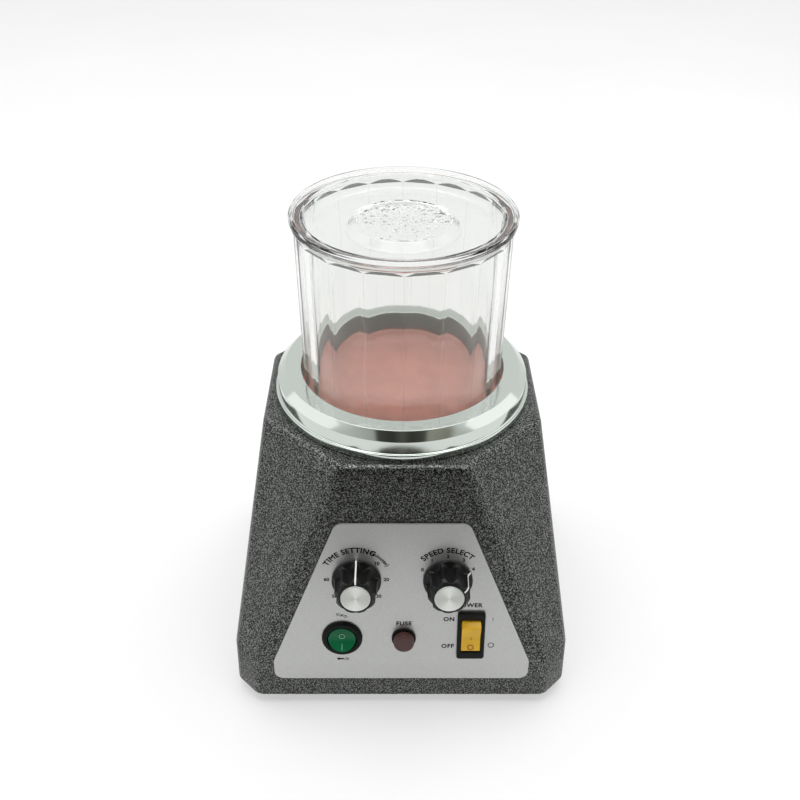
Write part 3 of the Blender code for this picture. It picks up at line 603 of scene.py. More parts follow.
def ringShape(outer, inner):
    return flatShape(arc(0, 0, outer, 0, 357, 60), [arc(0, 0, inner, 0, 357, 60)])


def makeLegends():
    g = legend
    shapes = []

    def put(bm, u, v, turn=0.0):
        shapes.append((bm, panelMatrix(u, v, panelFace + g["lift"], turn)))

    for words, size, side, centre in g["arcs"]:
        bent = textMesh(words, g[size], g["arcRadius"], centre, g["arcSpacing"])
        put(bent, side * knob["u"], knob["v"])
    for side, marks in g["dials"]:
        for number, angle in marks:
            turn = math.radians(90 - angle)
            reach = g["dialRadius"] + (g["wider"] if number > 9 and abs(angle) > 80 else 0)
            put(textMesh(str(number), g["tiny"]),
                side * knob["u"] + reach * math.cos(turn), knob["v"] + reach * math.sin(turn))
    for words, u, v in (("FUSE", fuse["u"], g["fuseV"]), *g["words"]):
        put(textMesh(words, g["small"], spacing=g["wordSpacing"]), u, v)
    put(flatShape(rectangle(*g["onBar"])), *g["onAt"])
    put(ringShape(*g["offRing"]), *g["offAt"])
    arrow = [(-0.0019, -0.0005), (0.0002, -0.0005), (0.0002, -0.0012), (0.0019, 0),
             (0.0002, 0.0012), (0.0002, 0.0005), (-0.0019, 0.0005)]
    inner = [(x * 0.72 + 0.00005, y * 0.5) for x, y in arrow]
    for u, v, turn, hollow in g["arrows"]:
        put(flatShape(arrow, [inner] if hollow else []), u, v, turn)
    piece = newPiece("panel_legends", gathered("panel_legends", shapes), blackInk)
    handOver(piece, "root", "panel_silver")


collar = {
    "lip": 0.0743, "wall": 0.0728, "top": 0.0683, "bore": 0.0592, "plate": 0.063,
    "lipZ": 0.163, "wallZ": 0.1708, "topZ": 0.1752, "plateTopZ": 0.1609, "plateEdge": 0.0003,
}


def makeCollar():
    c = collar
    deck = deckZ - baseZ + gap
    seat, under = c["plate"] + gap, c["plateTopZ"] + gap
    profile = filleted([
        (c["bore"], c["topZ"], 0.0004), (c["top"], c["topZ"], 0.0003),
        (c["wall"], c["wallZ"], 0.0003), (c["wall"], c["lipZ"], 0.0006),
        (c["lip"], c["lipZ"], 0.0005), (c["lip"], deck, 0.0003),
        (seat, deck), (seat, under), (c["bore"], under),
    ], closed=True, steps=4)
    obj = newPiece("collar_ring", turned(profile, 192, ring=True), polished, axisMatrix)
    handOver(obj, "root", "polished_aluminium", "bowl_ring")


def makePlatform():
    low, high, radius = deckZ - baseZ + gap, collar["plateTopZ"], collar["plate"]
    profile = filleted([(0, high), (radius, high), (radius, low), (0, low)], collar["plateEdge"])
    obj = newPiece("drive_plate", turned(profile), salmonNylon, axisMatrix)
    handOver(obj, "root", "salmon_plastic", "bowl_platform")


bowl = {
    "facets": 18, "lowCorner": 0.0576, "highCorner": 0.0596, "collar": 0.0599, "flange": 0.0610,
    "bottomZ": 0.1612, "facetTopZ": 0.2646, "flangeZ": 0.2662, "rimZ": 0.2677, "floor": 0.004,
    "cavityLow": 0.0540, "cavityHigh": 0.0556, "cavityCorner": 0.0025, "cornerCut": 0.00022,
    "step": 0.0001, "firstDrop": 0.0007, "wallRows": 6, "footEase": 0.0003, "foot": 0.001,
    "spans": (-1, -0.95, -0.88, -0.75, -0.4, 0, 0.4, 0.75, 0.88, 0.95),    # columns across a facet
}


def startTree(name, sizes):
    # takes a mesh, its named sizes and a material, and gives a mesh
    tree = bpy.data.node_groups.new(name, "GeometryNodeTree")
    face = tree.interface
    face.new_socket("Geometry", in_out="INPUT", socket_type="NodeSocketGeometry")
    for size in sizes:
        face.new_socket(size, in_out="INPUT", socket_type="NodeSocketFloat")
    face.new_socket("Material", in_out="INPUT", socket_type="NodeSocketMaterial")
    face.new_socket("Geometry", in_out="OUTPUT", socket_type="NodeSocketGeometry")
    return tree, addNode(tree, "NodeGroupInput").outputs


def finishTree(tree, geometry, mat):
    real = addNode(tree, "GeometryNodeRealizeInstances", {"Geometry": geometry})
    painted = addNode(tree, "GeometryNodeSetMaterial", {"Geometry": real, "Material": mat})
    addNode(tree, "NodeGroupOutput", [painted])
    return tree


def polarPlace(tree, mark, count, ahead):
    # a point's coordinates, its level vector from the axis, that vector's length, what it is
    # marked with, and its angle from the middle of its own facet or flute, where the first of
    # them starts ahead of the x axis
    place = addNode(tree, "GeometryNodeInputPosition")
    split = addNode(tree, "ShaderNodeSeparateXYZ", [place]).outputs
    level = addNode(tree, "ShaderNodeCombineXYZ", [split["X"], split["Y"], 0.0])
    length = addNode(tree, "ShaderNodeVectorMath", [level], operation="LENGTH").outputs["Value"]
    marked = addNode(tree, "GeometryNodeInputNamedAttribute", {"Name": mark}, data_type="FLOAT")
    step = addNode(tree, mathNode, [2 * math.pi, count], operation="DIVIDE")
    half = addNode(tree, mathNode, [step, 2.0], operation="DIVIDE")
    angle = addNode(tree, mathNode, [split["Y"], split["X"]], operation="ARCTAN2")
    turn = addNode(tree, mathNode, [angle, ahead], operation="SUBTRACT")
    within = addNode(tree, mathNode, [turn, step], operation="FLOORED_MODULO")
    offCentre = addNode(tree, mathNode, [within, half], operation="SUBTRACT")
    return split, level, length, marked, offCentre


def moveOut(tree, given, marked, above, level, length, wanted):
    # points marked above a value slide along their level vectors to the wanted radius
    chosen = addNode(tree, mathNode, [marked, above], operation="GREATER_THAN")
    ratio = addNode(tree, mathNode, [wanted, length], operation="DIVIDE")
    growth = addNode(tree, mathNode, [ratio, 1.0], operation="SUBTRACT")
    push = addNode(tree, "ShaderNodeVectorMath", {0: level, "Scale": growth}, operation="SCALE")
    moved = addNode(tree, "GeometryNodeSetPosition", {
        "Geometry": given["Geometry"], "Selection": chosen, "Offset": push})
    return finishTree(tree, moved, given["Material"])


def facetTree():
    # pulls the marked part of a turned wall in to a polygon that widens with height
    tree, given = startTree("facetWall", (
        "Facets", "Low Corner", "High Corner", "Low Height", "High Height", "Corner Cut"))
    split, level, length, inset, offCentre = polarPlace(
        tree, "inset", given["Facets"], -math.pi / 2)
    rise = addNode(tree, "ShaderNodeMapRange", {
        "Value": split["Z"], "From Min": given["Low Height"], "From Max": given["High Height"],
        "To Min": given["Low Corner"], "To Max": given["High Corner"]})
    half = addNode(tree, mathNode, [math.pi, given["Facets"]], operation="DIVIDE")
    halfCosine = addNode(tree, mathNode, [half], operation="COSINE")
    middle = addNode(tree, mathNode, [rise, halfCosine], operation="MULTIPLY")
    cosine = addNode(tree, mathNode, [offCentre], operation="COSINE")
    flat = addNode(tree, mathNode, [middle, cosine], operation="DIVIDE")
    blunt = addNode(tree, mathNode, [rise, given["Corner Cut"]], operation="SUBTRACT")
    outer = addNode(tree, mathNode, [flat, blunt], operation="MINIMUM")
    wanted = addNode(tree, mathNode, [outer, inset], operation="SUBTRACT")
    return moveOut(tree, given, inset, -0.5, level, length, wanted)


def applyTree(obj, tree, values):
    step = addModifier(obj, "NODES", node_group=tree)
    for item in tree.interface.items_tree:
        if item.item_type == "SOCKET" and item.in_out == "INPUT" and item.name in values:
            step[item.identifier] = values[item.name]
    settle(obj)


def makeBowl():
    b = bowl
    inside = arc(b["cavityLow"] - b["cavityCorner"], b["bottomZ"] + b["floor"] + b["cavityCorner"],
                 b["cavityCorner"], -90, 0, 10)
    rim = filleted([
        (b["cavityHigh"], b["flangeZ"]), (b["cavityHigh"], b["rimZ"], 0.0003),
        (b["flange"], b["rimZ"], 0.0005), (b["flange"], b["flangeZ"], 0.0004),
        (b["collar"], b["flangeZ"], 0.0004), (b["collar"], b["facetTopZ"])], steps=4)
    fall = b["bottomZ"] + b["foot"] - b["facetTopZ"]
    drops = [fall * k / b["wallRows"] for k in range(1, b["wallRows"] + 1)]
    wall = [(b["collar"] - b["step"], b["facetTopZ"] - b["step"]),
            *[(b["collar"], b["facetTopZ"] + drop) for drop in (-b["firstDrop"], *drops)]]
    ease = b["footEase"]
    foot = [(b["collar"] - ease, b["bottomZ"] + ease), (b["collar"] - b["foot"], b["bottomZ"])]
    profile = [(0, b["bottomZ"] + b["floor"]), *inside, *rim, *wall, *foot, (0, b["bottomZ"])]
    half = 180 / b["facets"]
    degrees = [-90 + half * (2 * i + 1 + span) for i in range(b["facets"]) for span in b["spans"]]
    bm = turned(profile, degrees=degrees)
    # how far inside its facet each row of the wall and the foot stands; other points stay
    insets = [b["step"], *[0.0] * (len(wall) - 1), ease, b["foot"]]
    marked = {(round(r, 7), round(z, 7)): inset for (r, z), inset in zip(wall + foot, insets)}
    layer = bm.verts.layers.float.new("inset")
    for vert in bm.verts:
        key = (round(math.hypot(vert.co.x, vert.co.y), 7), round(vert.co.z, 7))
        vert[layer] = marked.get(key, -1.0)
    obj = newPiece("clear_bowl", bm, bowlAcrylic)
    applyTree(obj, facetTree(), {
        "Facets": b["facets"], "Low Corner": b["lowCorner"], "High Corner": b["highCorner"],
        "Low Height": b["bottomZ"], "High Height": b["facetTopZ"], "Corner Cut": b["cornerCut"],
        "Material": bowlAcrylic})
    obj.data.transform(axisMatrix)
    handOver(obj, "bowl", "clear_acrylic", "bowl")


bowlMarks = {
    "skin": 0.00004, "top": 0.0001, "low": 0.0023, "bulge": 0.0021, "width": 0.95, "halfSteps": 6,
    "arrisHalf": 0.0002, "arrisFoot": 0.002, "arrisTop": 0.0024,
}


def facetRadius(z, corner=False):
    b = bowl
    rise = (z - b["bottomZ"]) / (b["facetTopZ"] - b["bottomZ"])
    radius = b["lowCorner"] + (b["highCorner"] - b["lowCorner"]) * rise
    return radius - b["cornerCut"] if corner else radius * math.cos(math.pi / b["facets"])


def makeBowlMarks():
    # painted shade: a grey crescent where each facet runs out; painted highlight: a pale line down
    # each corner
    b, m = bowl, bowlMarks
    half, top = math.pi / b["facets"], b["facetTopZ"]
    runOut, arris = bmesh.new(), bmesh.new()
    for i in range(b["facets"]):
        middle = -math.pi / 2 + (2 * i + 1) * half
        rows = []
        for k in range(2 * m["halfSteps"] + 1):
            t = k / m["halfSteps"] - 1
            off = t * half * m["width"]
            row = []
            for z in (top - m["low"], top - m["top"] - m["bulge"] * t * t):
                r = (facetRadius(z) + m["skin"]) / math.cos(off)
                x, y = r * math.cos(middle + off), r * math.sin(middle + off)
                row.append(runOut.verts.new((x, y, z)))
            rows.append(row)
        for low, high in zip(rows, rows[1:]):
            runOut.faces.new((low[0], high[0], high[1], low[1]))
        edge = Matrix.Rotation(middle + half, 3, "Z")
        low, high = [
            [arris.verts.new(edge @ Vector((facetRadius(z, True) + m["skin"], y, z)))
             for y in (-m["arrisHalf"], m["arrisHalf"])]
            for z in (b["bottomZ"] + m["arrisFoot"], top - m["arrisTop"])]
        arris.faces.new((low[0], low[1], high[1], high[0]))
    # grey crescents of painted shade, and pale corner lines of painted highlight
    for name, bm, mat in (("bowl_painted_shade_crescents", runOut, crescentShadePaint), ("bowl_painted_highlight_lines", arris, cornerHighlightPaint)):
        handOver(newPiece(name, bm, mat, axisMatrix), "bowl", "clear_acrylic")


lid = {
    "floorZ": 0.2612, "topZ": 0.2710, "rise": 0.0045, "wall": 0.0018, "radius": 0.0615,
    "bossTop": 0.0262, "bossBase": 0.0312, "bossInside": 0.0250, "floorEnd": 0.0500,
    "innerFillet": 0.0030, "outerFillet": 0.0046, "plug": 0.0547, "plugTop": 0.0552, "land": 0.0015,
    "ridge": (0.0585, 0.0591, 0.0607), "crinkle": 0.0008, "crinkleFade": 0.003, "seed": 4.0,
}


def makeLid():
    k = lid
    floor, high, rim = k["floorZ"], k["topZ"], bowl["rimZ"] + gap
    boss, under = floor + k["rise"], k["wall"]
    land, (ridgeFoot, ridgeIn, ridgeOut) = high - k["land"], k["ridge"]
    bend = floor + 0.0028    # where the plug's wall turns into its floor
    profile = [
        (0, boss), *[(k["bossTop"] * i / 26, boss) for i in range(1, 25)],
        *filleted([(0.0252, boss), (k["bossTop"], boss, 0.0015), (k["bossBase"], floor, 0.003),
                   (0.036, floor)], steps=6),
        (0.042, floor), (k["floorEnd"], floor),
        *arc(k["floorEnd"], floor + k["innerFillet"], k["innerFillet"], -90, -8, 10)[1:],
        *filleted([
            (0.0531, floor + 0.0036), (0.0542, land, 0.001), (ridgeFoot, land, 0.0004),
            (ridgeIn, high, 0.0004), (ridgeOut, high, 0.0006), (k["radius"], high - 0.0010, 0.0006),
            (k["radius"], rim + 0.0004, 0.0003), (k["radius"] - 0.0004, rim),
            (k["plugTop"], rim, 0.0004), (k["plug"], bend)], steps=4),
        *arc(k["plug"] - k["outerFillet"], bend, k["outerFillet"], 0, -90, 10)[1:],
        *filleted([(0.042, floor - under), (0.0298, floor - under, 0.003),
                   (k["bossInside"], boss - under, 0.002), (0.012, boss - under)], steps=6),
        (0, boss - under),
    ]
    bm = turned(profile, 144)
    for vert in bm.verts:
        radius = math.hypot(vert.co.x, vert.co.y)
        if radius < k["bossTop"] and vert.co.z > boss - 0.0006:
            fade = min(1, (k["bossTop"] - radius) / k["crinkleFade"])
            at = Vector((vert.co.x, vert.co.y, k["seed"]))
            fine = noise.noise(at * 380) + 0.6 * noise.noise(at * 800)
            vert.co.z += k["crinkle"] * fade * (fine - 0.3)
    handOver(newPiece("clear_lid", bm, acrylic, axisMatrix), "lid", "clear_acrylic_lid", "lid")


knob = {
    "u": 0.0257, "v": 0.060, "low": 0.0018, "high": 0.0184, "skirt": 0.014, "cap": 0.0083,
    "capThick": 0.001, "capRings": 12, "flutes": 9, "fluteRadius": 0.0036, "fluteAt": 0.0135,
    "fluteLow": 0.0028, "fade": 0.0016, "soften": 0.0004, "sideStep": 0.0007,
    "hollow": 0.0090, "hollowDeep": 0.0045, "hub": 0.0033, "hubDeep": 0.0125, "grip": 0.0091,
    "lineWidth": 0.0009, "lineLift": 0.00005, "speedRest": -63,
}


def fluteTree():
    # scoops evenly spaced flutes out of a turned knob, fading out above its skirt
    tree, given = startTree("fluteSides", (
        "Flutes", "Flute Radius", "Flute Distance", "Low Height", "Fade", "Softness"))
    split, level, length, side, offCentre = polarPlace(
        tree, "side", given["Flutes"], math.pi / 2)
    sine = addNode(tree, mathNode, [offCentre], operation="SINE")
    across = addNode(tree, mathNode, [given["Flute Distance"], sine], operation="MULTIPLY")
    acrossSquared = addNode(tree, mathNode, [across, 2.0], operation="POWER")
    squared = addNode(tree, mathNode, [given["Flute Radius"], 2.0], operation="POWER")
    chord = addNode(tree, mathNode, [squared, acrossSquared], operation="SUBTRACT")
    outside = addNode(tree, mathNode, [chord, 0.0], operation="LESS_THAN")
    inside = addNode(tree, mathNode, [chord, 0.0], operation="MAXIMUM")
    depth = addNode(tree, mathNode, [inside], operation="SQRT")
    cosine = addNode(tree, mathNode, [offCentre], operation="COSINE")
    middle = addNode(tree, mathNode, [given["Flute Distance"], cosine], operation="MULTIPLY")
    cut = addNode(tree, mathNode, [middle, depth], operation="SUBTRACT")
    clear = addNode(tree, mathNode, [cut, outside], operation="ADD")
    scooped = addNode(tree, mathNode, [length, clear, given["Softness"]], operation="SMOOTH_MIN")
    full = addNode(tree, mathNode, [given["Low Height"], given["Fade"]], operation="ADD")
    fade = addNode(tree, "ShaderNodeMapRange", {
        "Value": split["Z"], "From Min": given["Low Height"], "From Max": full},
        interpolation_type="SMOOTHSTEP")
    wanted = addNode(tree, "ShaderNodeMix", {"Factor": fade, "A": length, "B": scooped})
    return moveOut(tree, given, side, 0.5, level, length, wanted)


def knobSide():
    # the outer profile from the cap's seat down over the shoulder and side to the skirt
    low, high, skirt = knob["low"], knob["high"], knob["skirt"]
    return filleted([
        (knob["cap"] + gap, high - 0.0001, 0.0001), (0.0092, high, 0.0005),
        (0.0106, high - 0.0010, 0.002), (0.0118, high - 0.0030, 0.0010), (0.0120, high - 0.0070),
        (0.0122, low + 0.0030, 0.0015), (skirt - 0.0002, low + 0.0014, 0.0006),
        (skirt, low + 0.0007, 0.0004), (skirt - 0.0004, low)], steps=5)


def makeGrip(name, body, place, tree):
    k = knob
    low, cap, seat = k["low"], k["cap"], k["high"] - k["capThick"]
    outline = knobSide()
    side = []
    for (x, y), (nextX, nextY) in zip(outline, outline[1:]):
        parts = max(1, round(abs(y - nextY) / k["sideStep"]))
        side += [(x + (nextX - x) * i / parts, y + (nextY - y) * i / parts) for i in range(parts)]
    step, top = low + k["hollowDeep"], low + k["hubDeep"]
    hollow = [(k["hollow"], low), (k["hollow"], step), (k["hub"], step), (k["hub"], top), (0, top)]
    bm = turned([(0, seat), (cap + gap, seat), *side, outline[-1], *hollow], 144)
    layer = bm.verts.layers.float.new("side")
    for vert in bm.verts:
        vert[layer] = float(math.hypot(vert.co.x, vert.co.y) > k["grip"])
    obj = newPiece(name + "_grip", bm, phenolic)
    applyTree(obj, tree, {
        "Flutes": k["flutes"], "Flute Radius": k["fluteRadius"], "Flute Distance": k["fluteAt"],
        "Low Height": k["fluteLow"], "Fade": k["fade"], "Softness": k["soften"],
        "Material": phenolic})
    obj.data.transform(place)
    handOver(obj, body, "knob_phenolic", name)


def makeCapDisc(name, body, place):
    cap, top, seat = knob["cap"], knob["high"] + gap, knob["high"] - knob["capThick"] + gap
    disc = filleted([(0, top), (cap, top, 0.0003), (cap, seat), (0, seat)], steps=3)
    rings = [(cap * i / knob["capRings"], top) for i in range(1, knob["capRings"])]
    obj = newPiece(name + "_disc", turned([disc[0], *rings, *disc[1:]], 96), spun)
    mesh = obj.data
    polar = mesh.uv_layers.new(name="polar")    # turns round the axis, share of the radius
    for face in mesh.polygons:
        middle = math.atan2(face.center.y, face.center.x)
        for loop in face.loop_indices:
            x, y = mesh.vertices[mesh.loops[loop].vertex_index].co.xy
            turn = math.atan2(y, x) if math.hypot(x, y) > 1e-6 else middle
            turn += 2 * math.pi * round((middle - turn) / (2 * math.pi))
            polar.data[loop].uv = (turn / (2 * math.pi), math.hypot(x, y) / cap)
    mesh.transform(place)
    handOver(obj, body, "spun_aluminium", name + "_cap")


def makePointer(name, body, place):
    # a painted strip that follows the grip's profile, just proud of it
    line = [point for point in knobSide() if point[0] > knob["grip"]]
    half = knob["lineWidth"] / 2
    bm = bmesh.new()
    rows = []
    for i, (radius, height) in enumerate(line):
        before, after = Vector(line[max(i - 1, 0)]), Vector(line[min(i + 1, len(line) - 1)])
        out = (after - before).orthogonal().normalized() * -knob["lineLift"]
        if out.x + out.y < 0:
            out = -out
        rows.append([bm.verts.new((x, math.sqrt((radius + out.x) ** 2 - x * x), height + out.y))
                     for x in (-half, 0, half)])
    for a, b in zip(rows, rows[1:]):
        for k in (0, 1):
            bm.faces.new((a[k], b[k], b[k + 1], a[k + 1]))
    bmesh.ops.recalc_face_normals(bm, faces=bm.faces)
    obj = newPiece(name + "_pointer", bm, whiteInk)
    facing = sum((face.normal * face.area for face in obj.data.polygons), Vector())
    if facing.y < 0:
        obj.data.flip_normals()
    obj.data.transform(place)
    handOver(obj, body, "knob_phenolic")


def makeKnob(name, u, rest, tree):
    # each knob rides on the body of its own name
    place = panelMatrix(u, knob["v"], 0, rest)
    makeGrip(name, name, place, tree)
    makeCapDisc(name, name, place)
    makePointer(name, name, place)


direction = {
    "u": -0.0345, "v": 0.0193, "radius": 0.01175, "face": 0.0034, "lip": 0.0012, "swing": 0.0082,
    "pivotDrop": 0.002, "floorDrop": 0.0072, "neck": 0.0099, "depth": 0.018, "rest": -10,
    "half": 0.009, "crown": 0.0038, "dip": 0.0020, "base": 0.0055, "markLift": 0.00035,
    "ringAt": 0.0023, "ring": (0.0017, 0.0014), "barAt": -0.0042, "bar": (0.00032, 0.0038),
}
power = {
    "u": 0.040, "v": 0.0215, "width": 0.016, "length": 0.033, "corner": 0.0016, "face": 0.0032,
    "edge": 0.0005, "neck": (0.0068, 0.0143), "depth": 0.022, "pivotDrop": 0.0045,
    "floorDrop": 0.0068, "pocketHalf": 0.0058, "swing": 0.0113, "rest": 10, "half": 0.012,
    "rockerWidth": 0.0109, "rockerLength": 0.0236, "rockerCorner": 0.0013,
    "crown": 0.0066, "dip": 0.0046, "base": 0.0039,
    "markLift": 0.0003, "ringAt": -0.0068, "ring": (0.0019, 0.0014), "barAt": -0.0004,
    "bar": (0.00045, 0.0018),
}


def rockerBlank(switch, width):
    # side profile on y and z, pivot at the origin, extruded across x
    half, crown = switch["half"], switch["crown"]
    side = filleted([
        (-half, -switch["base"]), (half, -switch["base"]), (half, crown, 0.0006),
        (0, switch["dip"], 0.012), (-half, crown, 0.0006)], closed=True, steps=8)
    bm = outlineSolid(side, -width / 2, width / 2)
    upright = Matrix.Rotation(math.pi / 2, 4, "Z") @ Matrix.Rotation(math.pi / 2, 4, "X")
    bmesh.ops.transform(bm, matrix=upright, verts=bm.verts)
    return bm


def rockerPlace(switch):
    tilt = Matrix.Rotation(math.radians(switch["rest"]), 4, "X")
    return panelMatrix(switch["u"], switch["v"], switch["face"] - switch["pivotDrop"]) @ tilt


def rockerMarks(name, body, slotName, mat, switch):
    # a ring and a bar that lie on the dished top, each at its distance from the pivot
    climb = switch["crown"] - switch["dip"]
    shapes = []
    for along, bm in ((switch["ringAt"], ringShape(*switch["ring"])),
                      (switch["barAt"], flatShape(rectangle(*switch["bar"])))):
        height = switch["dip"] + climb * abs(along) / switch["half"] + switch["markLift"]
        tilt = math.atan2(climb, switch["half"]) * (1 if along > 0 else -1)
        shapes.append((bm, rockerPlace(switch) @ Matrix.Translation((0, along, height))
                       @ Matrix.Rotation(tilt, 4, "X")))
    handOver(newPiece(name, gathered(name, shapes), mat), body, slotName)


def makeDirectionSwitch():
    d = direction
    face, radius, neck, hole = d["face"], d["radius"], d["neck"], d["swing"] + gap
    low, floor = panelFace + gap, face - d["pivotDrop"] - d["floorDrop"]
    bezel = filleted([
        (hole, face - 0.002), (hole, face, 0.0003), (radius - d["lip"], face, 0.0008),
        (radius, low + 0.0008, 0.0008), (radius, low, 0.0002), (neck, low)], steps=4)
    profile = [(0, floor), (hole, floor), *bezel, (neck, -d["depth"]), (0, -d["depth"])]
    body = newPiece("direction_bezel", turned(profile, 96), bezelGreen, panelMatrix(d["u"], d["v"]))
    handOver(body, "root", "switch_bezel_green", "direction_switch_body")
    rocker = newPiece("direction_button", rockerBlank(d, 2 * d["half"]), rockerGreen)
    ball = bmesh.new()
    bmesh.ops.create_uvsphere(ball, u_segments=96, v_segments=48, radius=d["swing"] - 0.00005)
    carve(rocker, [(ball, None)], "INTERSECT")
    soften(rocker, 0.0003, 3, 45)
    rocker.data.transform(rockerPlace(d))
    handOver(rocker, "direction_rocker", "rocker_green", "direction_rocker")
    rockerMarks("direction_marks", "direction_rocker", "rocker_green", markGreen, d)


def makePowerSwitch():
    p = power
    low, floor = panelFace + gap, p["face"] - p["pivotDrop"] - p["floorDrop"]
    outline = roundedRectangle(p["width"], p["length"], p["corner"], 8)
    body = newPiece("power_bezel", outlineSolid(outline, low, p["face"], p["edge"]), bezelNylon)
    neckX, neckY = p["neck"]
    pocketX, pocketY = p["pocketHalf"], p["swing"] + 0.0004
    neck = boxSolid((-neckX, -neckY, -p["depth"]), (neckX, neckY, low + 0.0008))
    carve(body, [(neck, None)], "UNION")
    carve(body, [(boxSolid((-pocketX, -pocketY, floor), (pocketX, pocketY, 0.01)), None)])
    soften(body, 0.00025, 2, 60)
    body.data.transform(panelMatrix(p["u"], p["v"]))
    handOver(body, "root", "switch_nylon", "power_switch_body")
    rocker = newPiece("power_button", rockerBlank(p, p["rockerWidth"]), rockerYellow)
    sweep = rodSolid(p["swing"], -0.01, 0.01, 96)
    plan = roundedRectangle(p["rockerWidth"], p["rockerLength"], p["rockerCorner"], 6)
    carve(rocker, [(sweep, Matrix.Rotation(math.pi / 2, 4, "Y")),
                   (outlineSolid(plan, -0.01, 0.01), None)], "INTERSECT")
    soften(rocker, 0.0004, 3, 40)
    rocker.data.transform(rockerPlace(p))
    handOver(rocker, "power_rocker", "rocker_yellow", "power_rocker")
    rockerMarks("power_marks", "power_rocker", "rocker_yellow", markBrown, p)


fuse = {
    "u": 0.0012, "v": 0.0192, "holder": 0.0062, "flange": 0.0070, "bore": 0.0052,
    "holderDepth": 0.030, "boreDepth": 0.028,
    "cap": 0.006, "capTop": 0.0050, "rests": 0.0029, "plug": 0.0048,
    "plugDepth": 0.003, "tube": (0.0019, 0.0024), "tubeEnds": (-0.0040, -0.0226), "end": 0.0026,
    "endSpans": ((-0.0033, -0.0085), (-0.0181, -0.0233)),
}


def makeFuse():
    f = fuse
    seat, low = panelMatrix(f["u"], f["v"]), panelFace + gap
    face, rests, cap = low + 0.001, f["rests"], f["cap"]
    holder = filleted([
        (0, -f["boreDepth"]), (f["bore"], -f["boreDepth"]), (f["bore"], face, 0.0001),
        (f["flange"], face, 0.0003), (f["flange"], low), (f["holder"], low),
        (f["holder"], -f["holderDepth"]), (0, -f["holderDepth"])], steps=3)
    screwCap = filleted([
        (0, rests + 0.0048), (f["capTop"], rests + 0.0047, 0.0006),
        (cap - 0.0002, rests + 0.0040, 0.0006), (cap, rests + 0.0006, 0.0004),
        (cap - 0.0003, rests, 0.0002), (f["plug"], rests), (f["plug"], -f["plugDepth"]),
        (0, -f["plugDepth"])], steps=4)
    (inner, outer), (top, bottom) = f["tube"], f["tubeEnds"]
    tube = filleted([(inner, top), (outer, top), (outer, bottom), (inner, bottom)], 0.0001, True)
    ends = []
    for top, bottom in f["endSpans"]:
        cup = filleted([(0, top), (f["end"], top, 0.0003), (f["end"], bottom, 0.0003), (0, bottom)])
        ends.append((turned(cup, 48), None))
    base = newPiece("fuse_base", turned(holder, 72), bezelNylon, seat)
    handOver(base, "root", "fuse_holder_black", "fuse_holder")
    capPiece = newPiece("fuse_screw_cap", turned(screwCap, 72), fuseBrown, seat)
    handOver(capPiece, "fuse_cap", "fuse_cap_brown", "fuse_cap")
    tubePiece = newPiece("fuse_tube", turned(tube, 48, ring=True), acrylic, seat)
    handOver(tubePiece, "fuse", "fuse_glass", "fuse")
    handOver(newPiece("fuse_ends", gathered("fuse_ends", ends), plated, seat), "fuse", "fuse_glass")


inlet = {
    "v": 0.030, "width": 0.031, "height": 0.024, "face": 0.0025, "corner": 0.003, "edge": 0.0005,
    "neck": (0.0133, 0.0098), "depth": 0.018, "mouthDepth": 0.015,
    "mouth": ((0.012, 0.003), (0.007, 0.0082), (-0.007, 0.0082), (-0.012, 0.003), (-0.012, -0.0082),
              (0.012, -0.0082)),
    "pins": (("line", 0.007, -0.002), ("neutral", -0.007, -0.002), ("earth", 0, 0.002)),
    "pinHalf": (0.001, 0.002), "pinTop": -0.004,
}


def makeInlet():
    n = inlet
    seat = panelMatrix(0, n["v"], back=True)
    outline = roundedRectangle(n["width"], n["height"], n["corner"], 8)
    body = newPiece("inlet_shell", outlineSolid(outline, gap, n["face"], n["edge"]), bezelNylon)
    (neckX, neckY), floor = n["neck"], n["face"] - n["mouthDepth"]
    carve(body, [(boxSolid((-neckX, -neckY, -n["depth"]), (neckX, neckY, 0.001)), None)], "UNION")
    carve(body, [(outlineSolid(filleted(n["mouth"], 0.001, True, 4), floor, 0.01), None)])
    soften(body, 0.00025, 2, 60)
    body.data.transform(seat)
    handOver(body, "root", "inlet_nylon", "power_inlet")
    halfX, halfY = n["pinHalf"]
    for name, x, y in n["pins"]:
        blade = boxSolid((x - halfX, y - halfY, floor + gap), (x + halfX, y + halfY, n["pinTop"]))
        blade = newPiece(name + "_blade", blade, plated)
        soften(blade, 0.0004, 3, 60)
        blade.data.transform(seat)
        handOver(blade, "root", "plated_brass", "inlet_pin_" + name)


foot = {
    "at": 0.076, "radius": 0.011, "top": 0.009 - gap, "hole": 0.0024, "recess": 0.0048,
    "recessZ": 0.0045, "screwTop": 0.0145, "shank": 0.0020, "head": 0.0040, "headZ": 0.0042,
    "slotHalf": 0.0004, "slotReach": 0.0021, "slotZ": (0.001, 0.0034),
    "corners": ("front_left", "front_right", "back_right", "back_left"),
}


def cornerTree():
    # stands one piece at the four corners of a square
    tree, given = startTree("fourCorners", ("Spacing",))
    square = addNode(tree, "GeometryNodeMeshGrid", {
        "Size X": given["Spacing"], "Size Y": given["Spacing"], "Vertices X": 2, "Vertices Y": 2})
    copies = addNode(tree, "GeometryNodeInstanceOnPoints", {
        "Points": square, "Instance": given["Geometry"]})
    return finishTree(tree, copies, given["Material"])


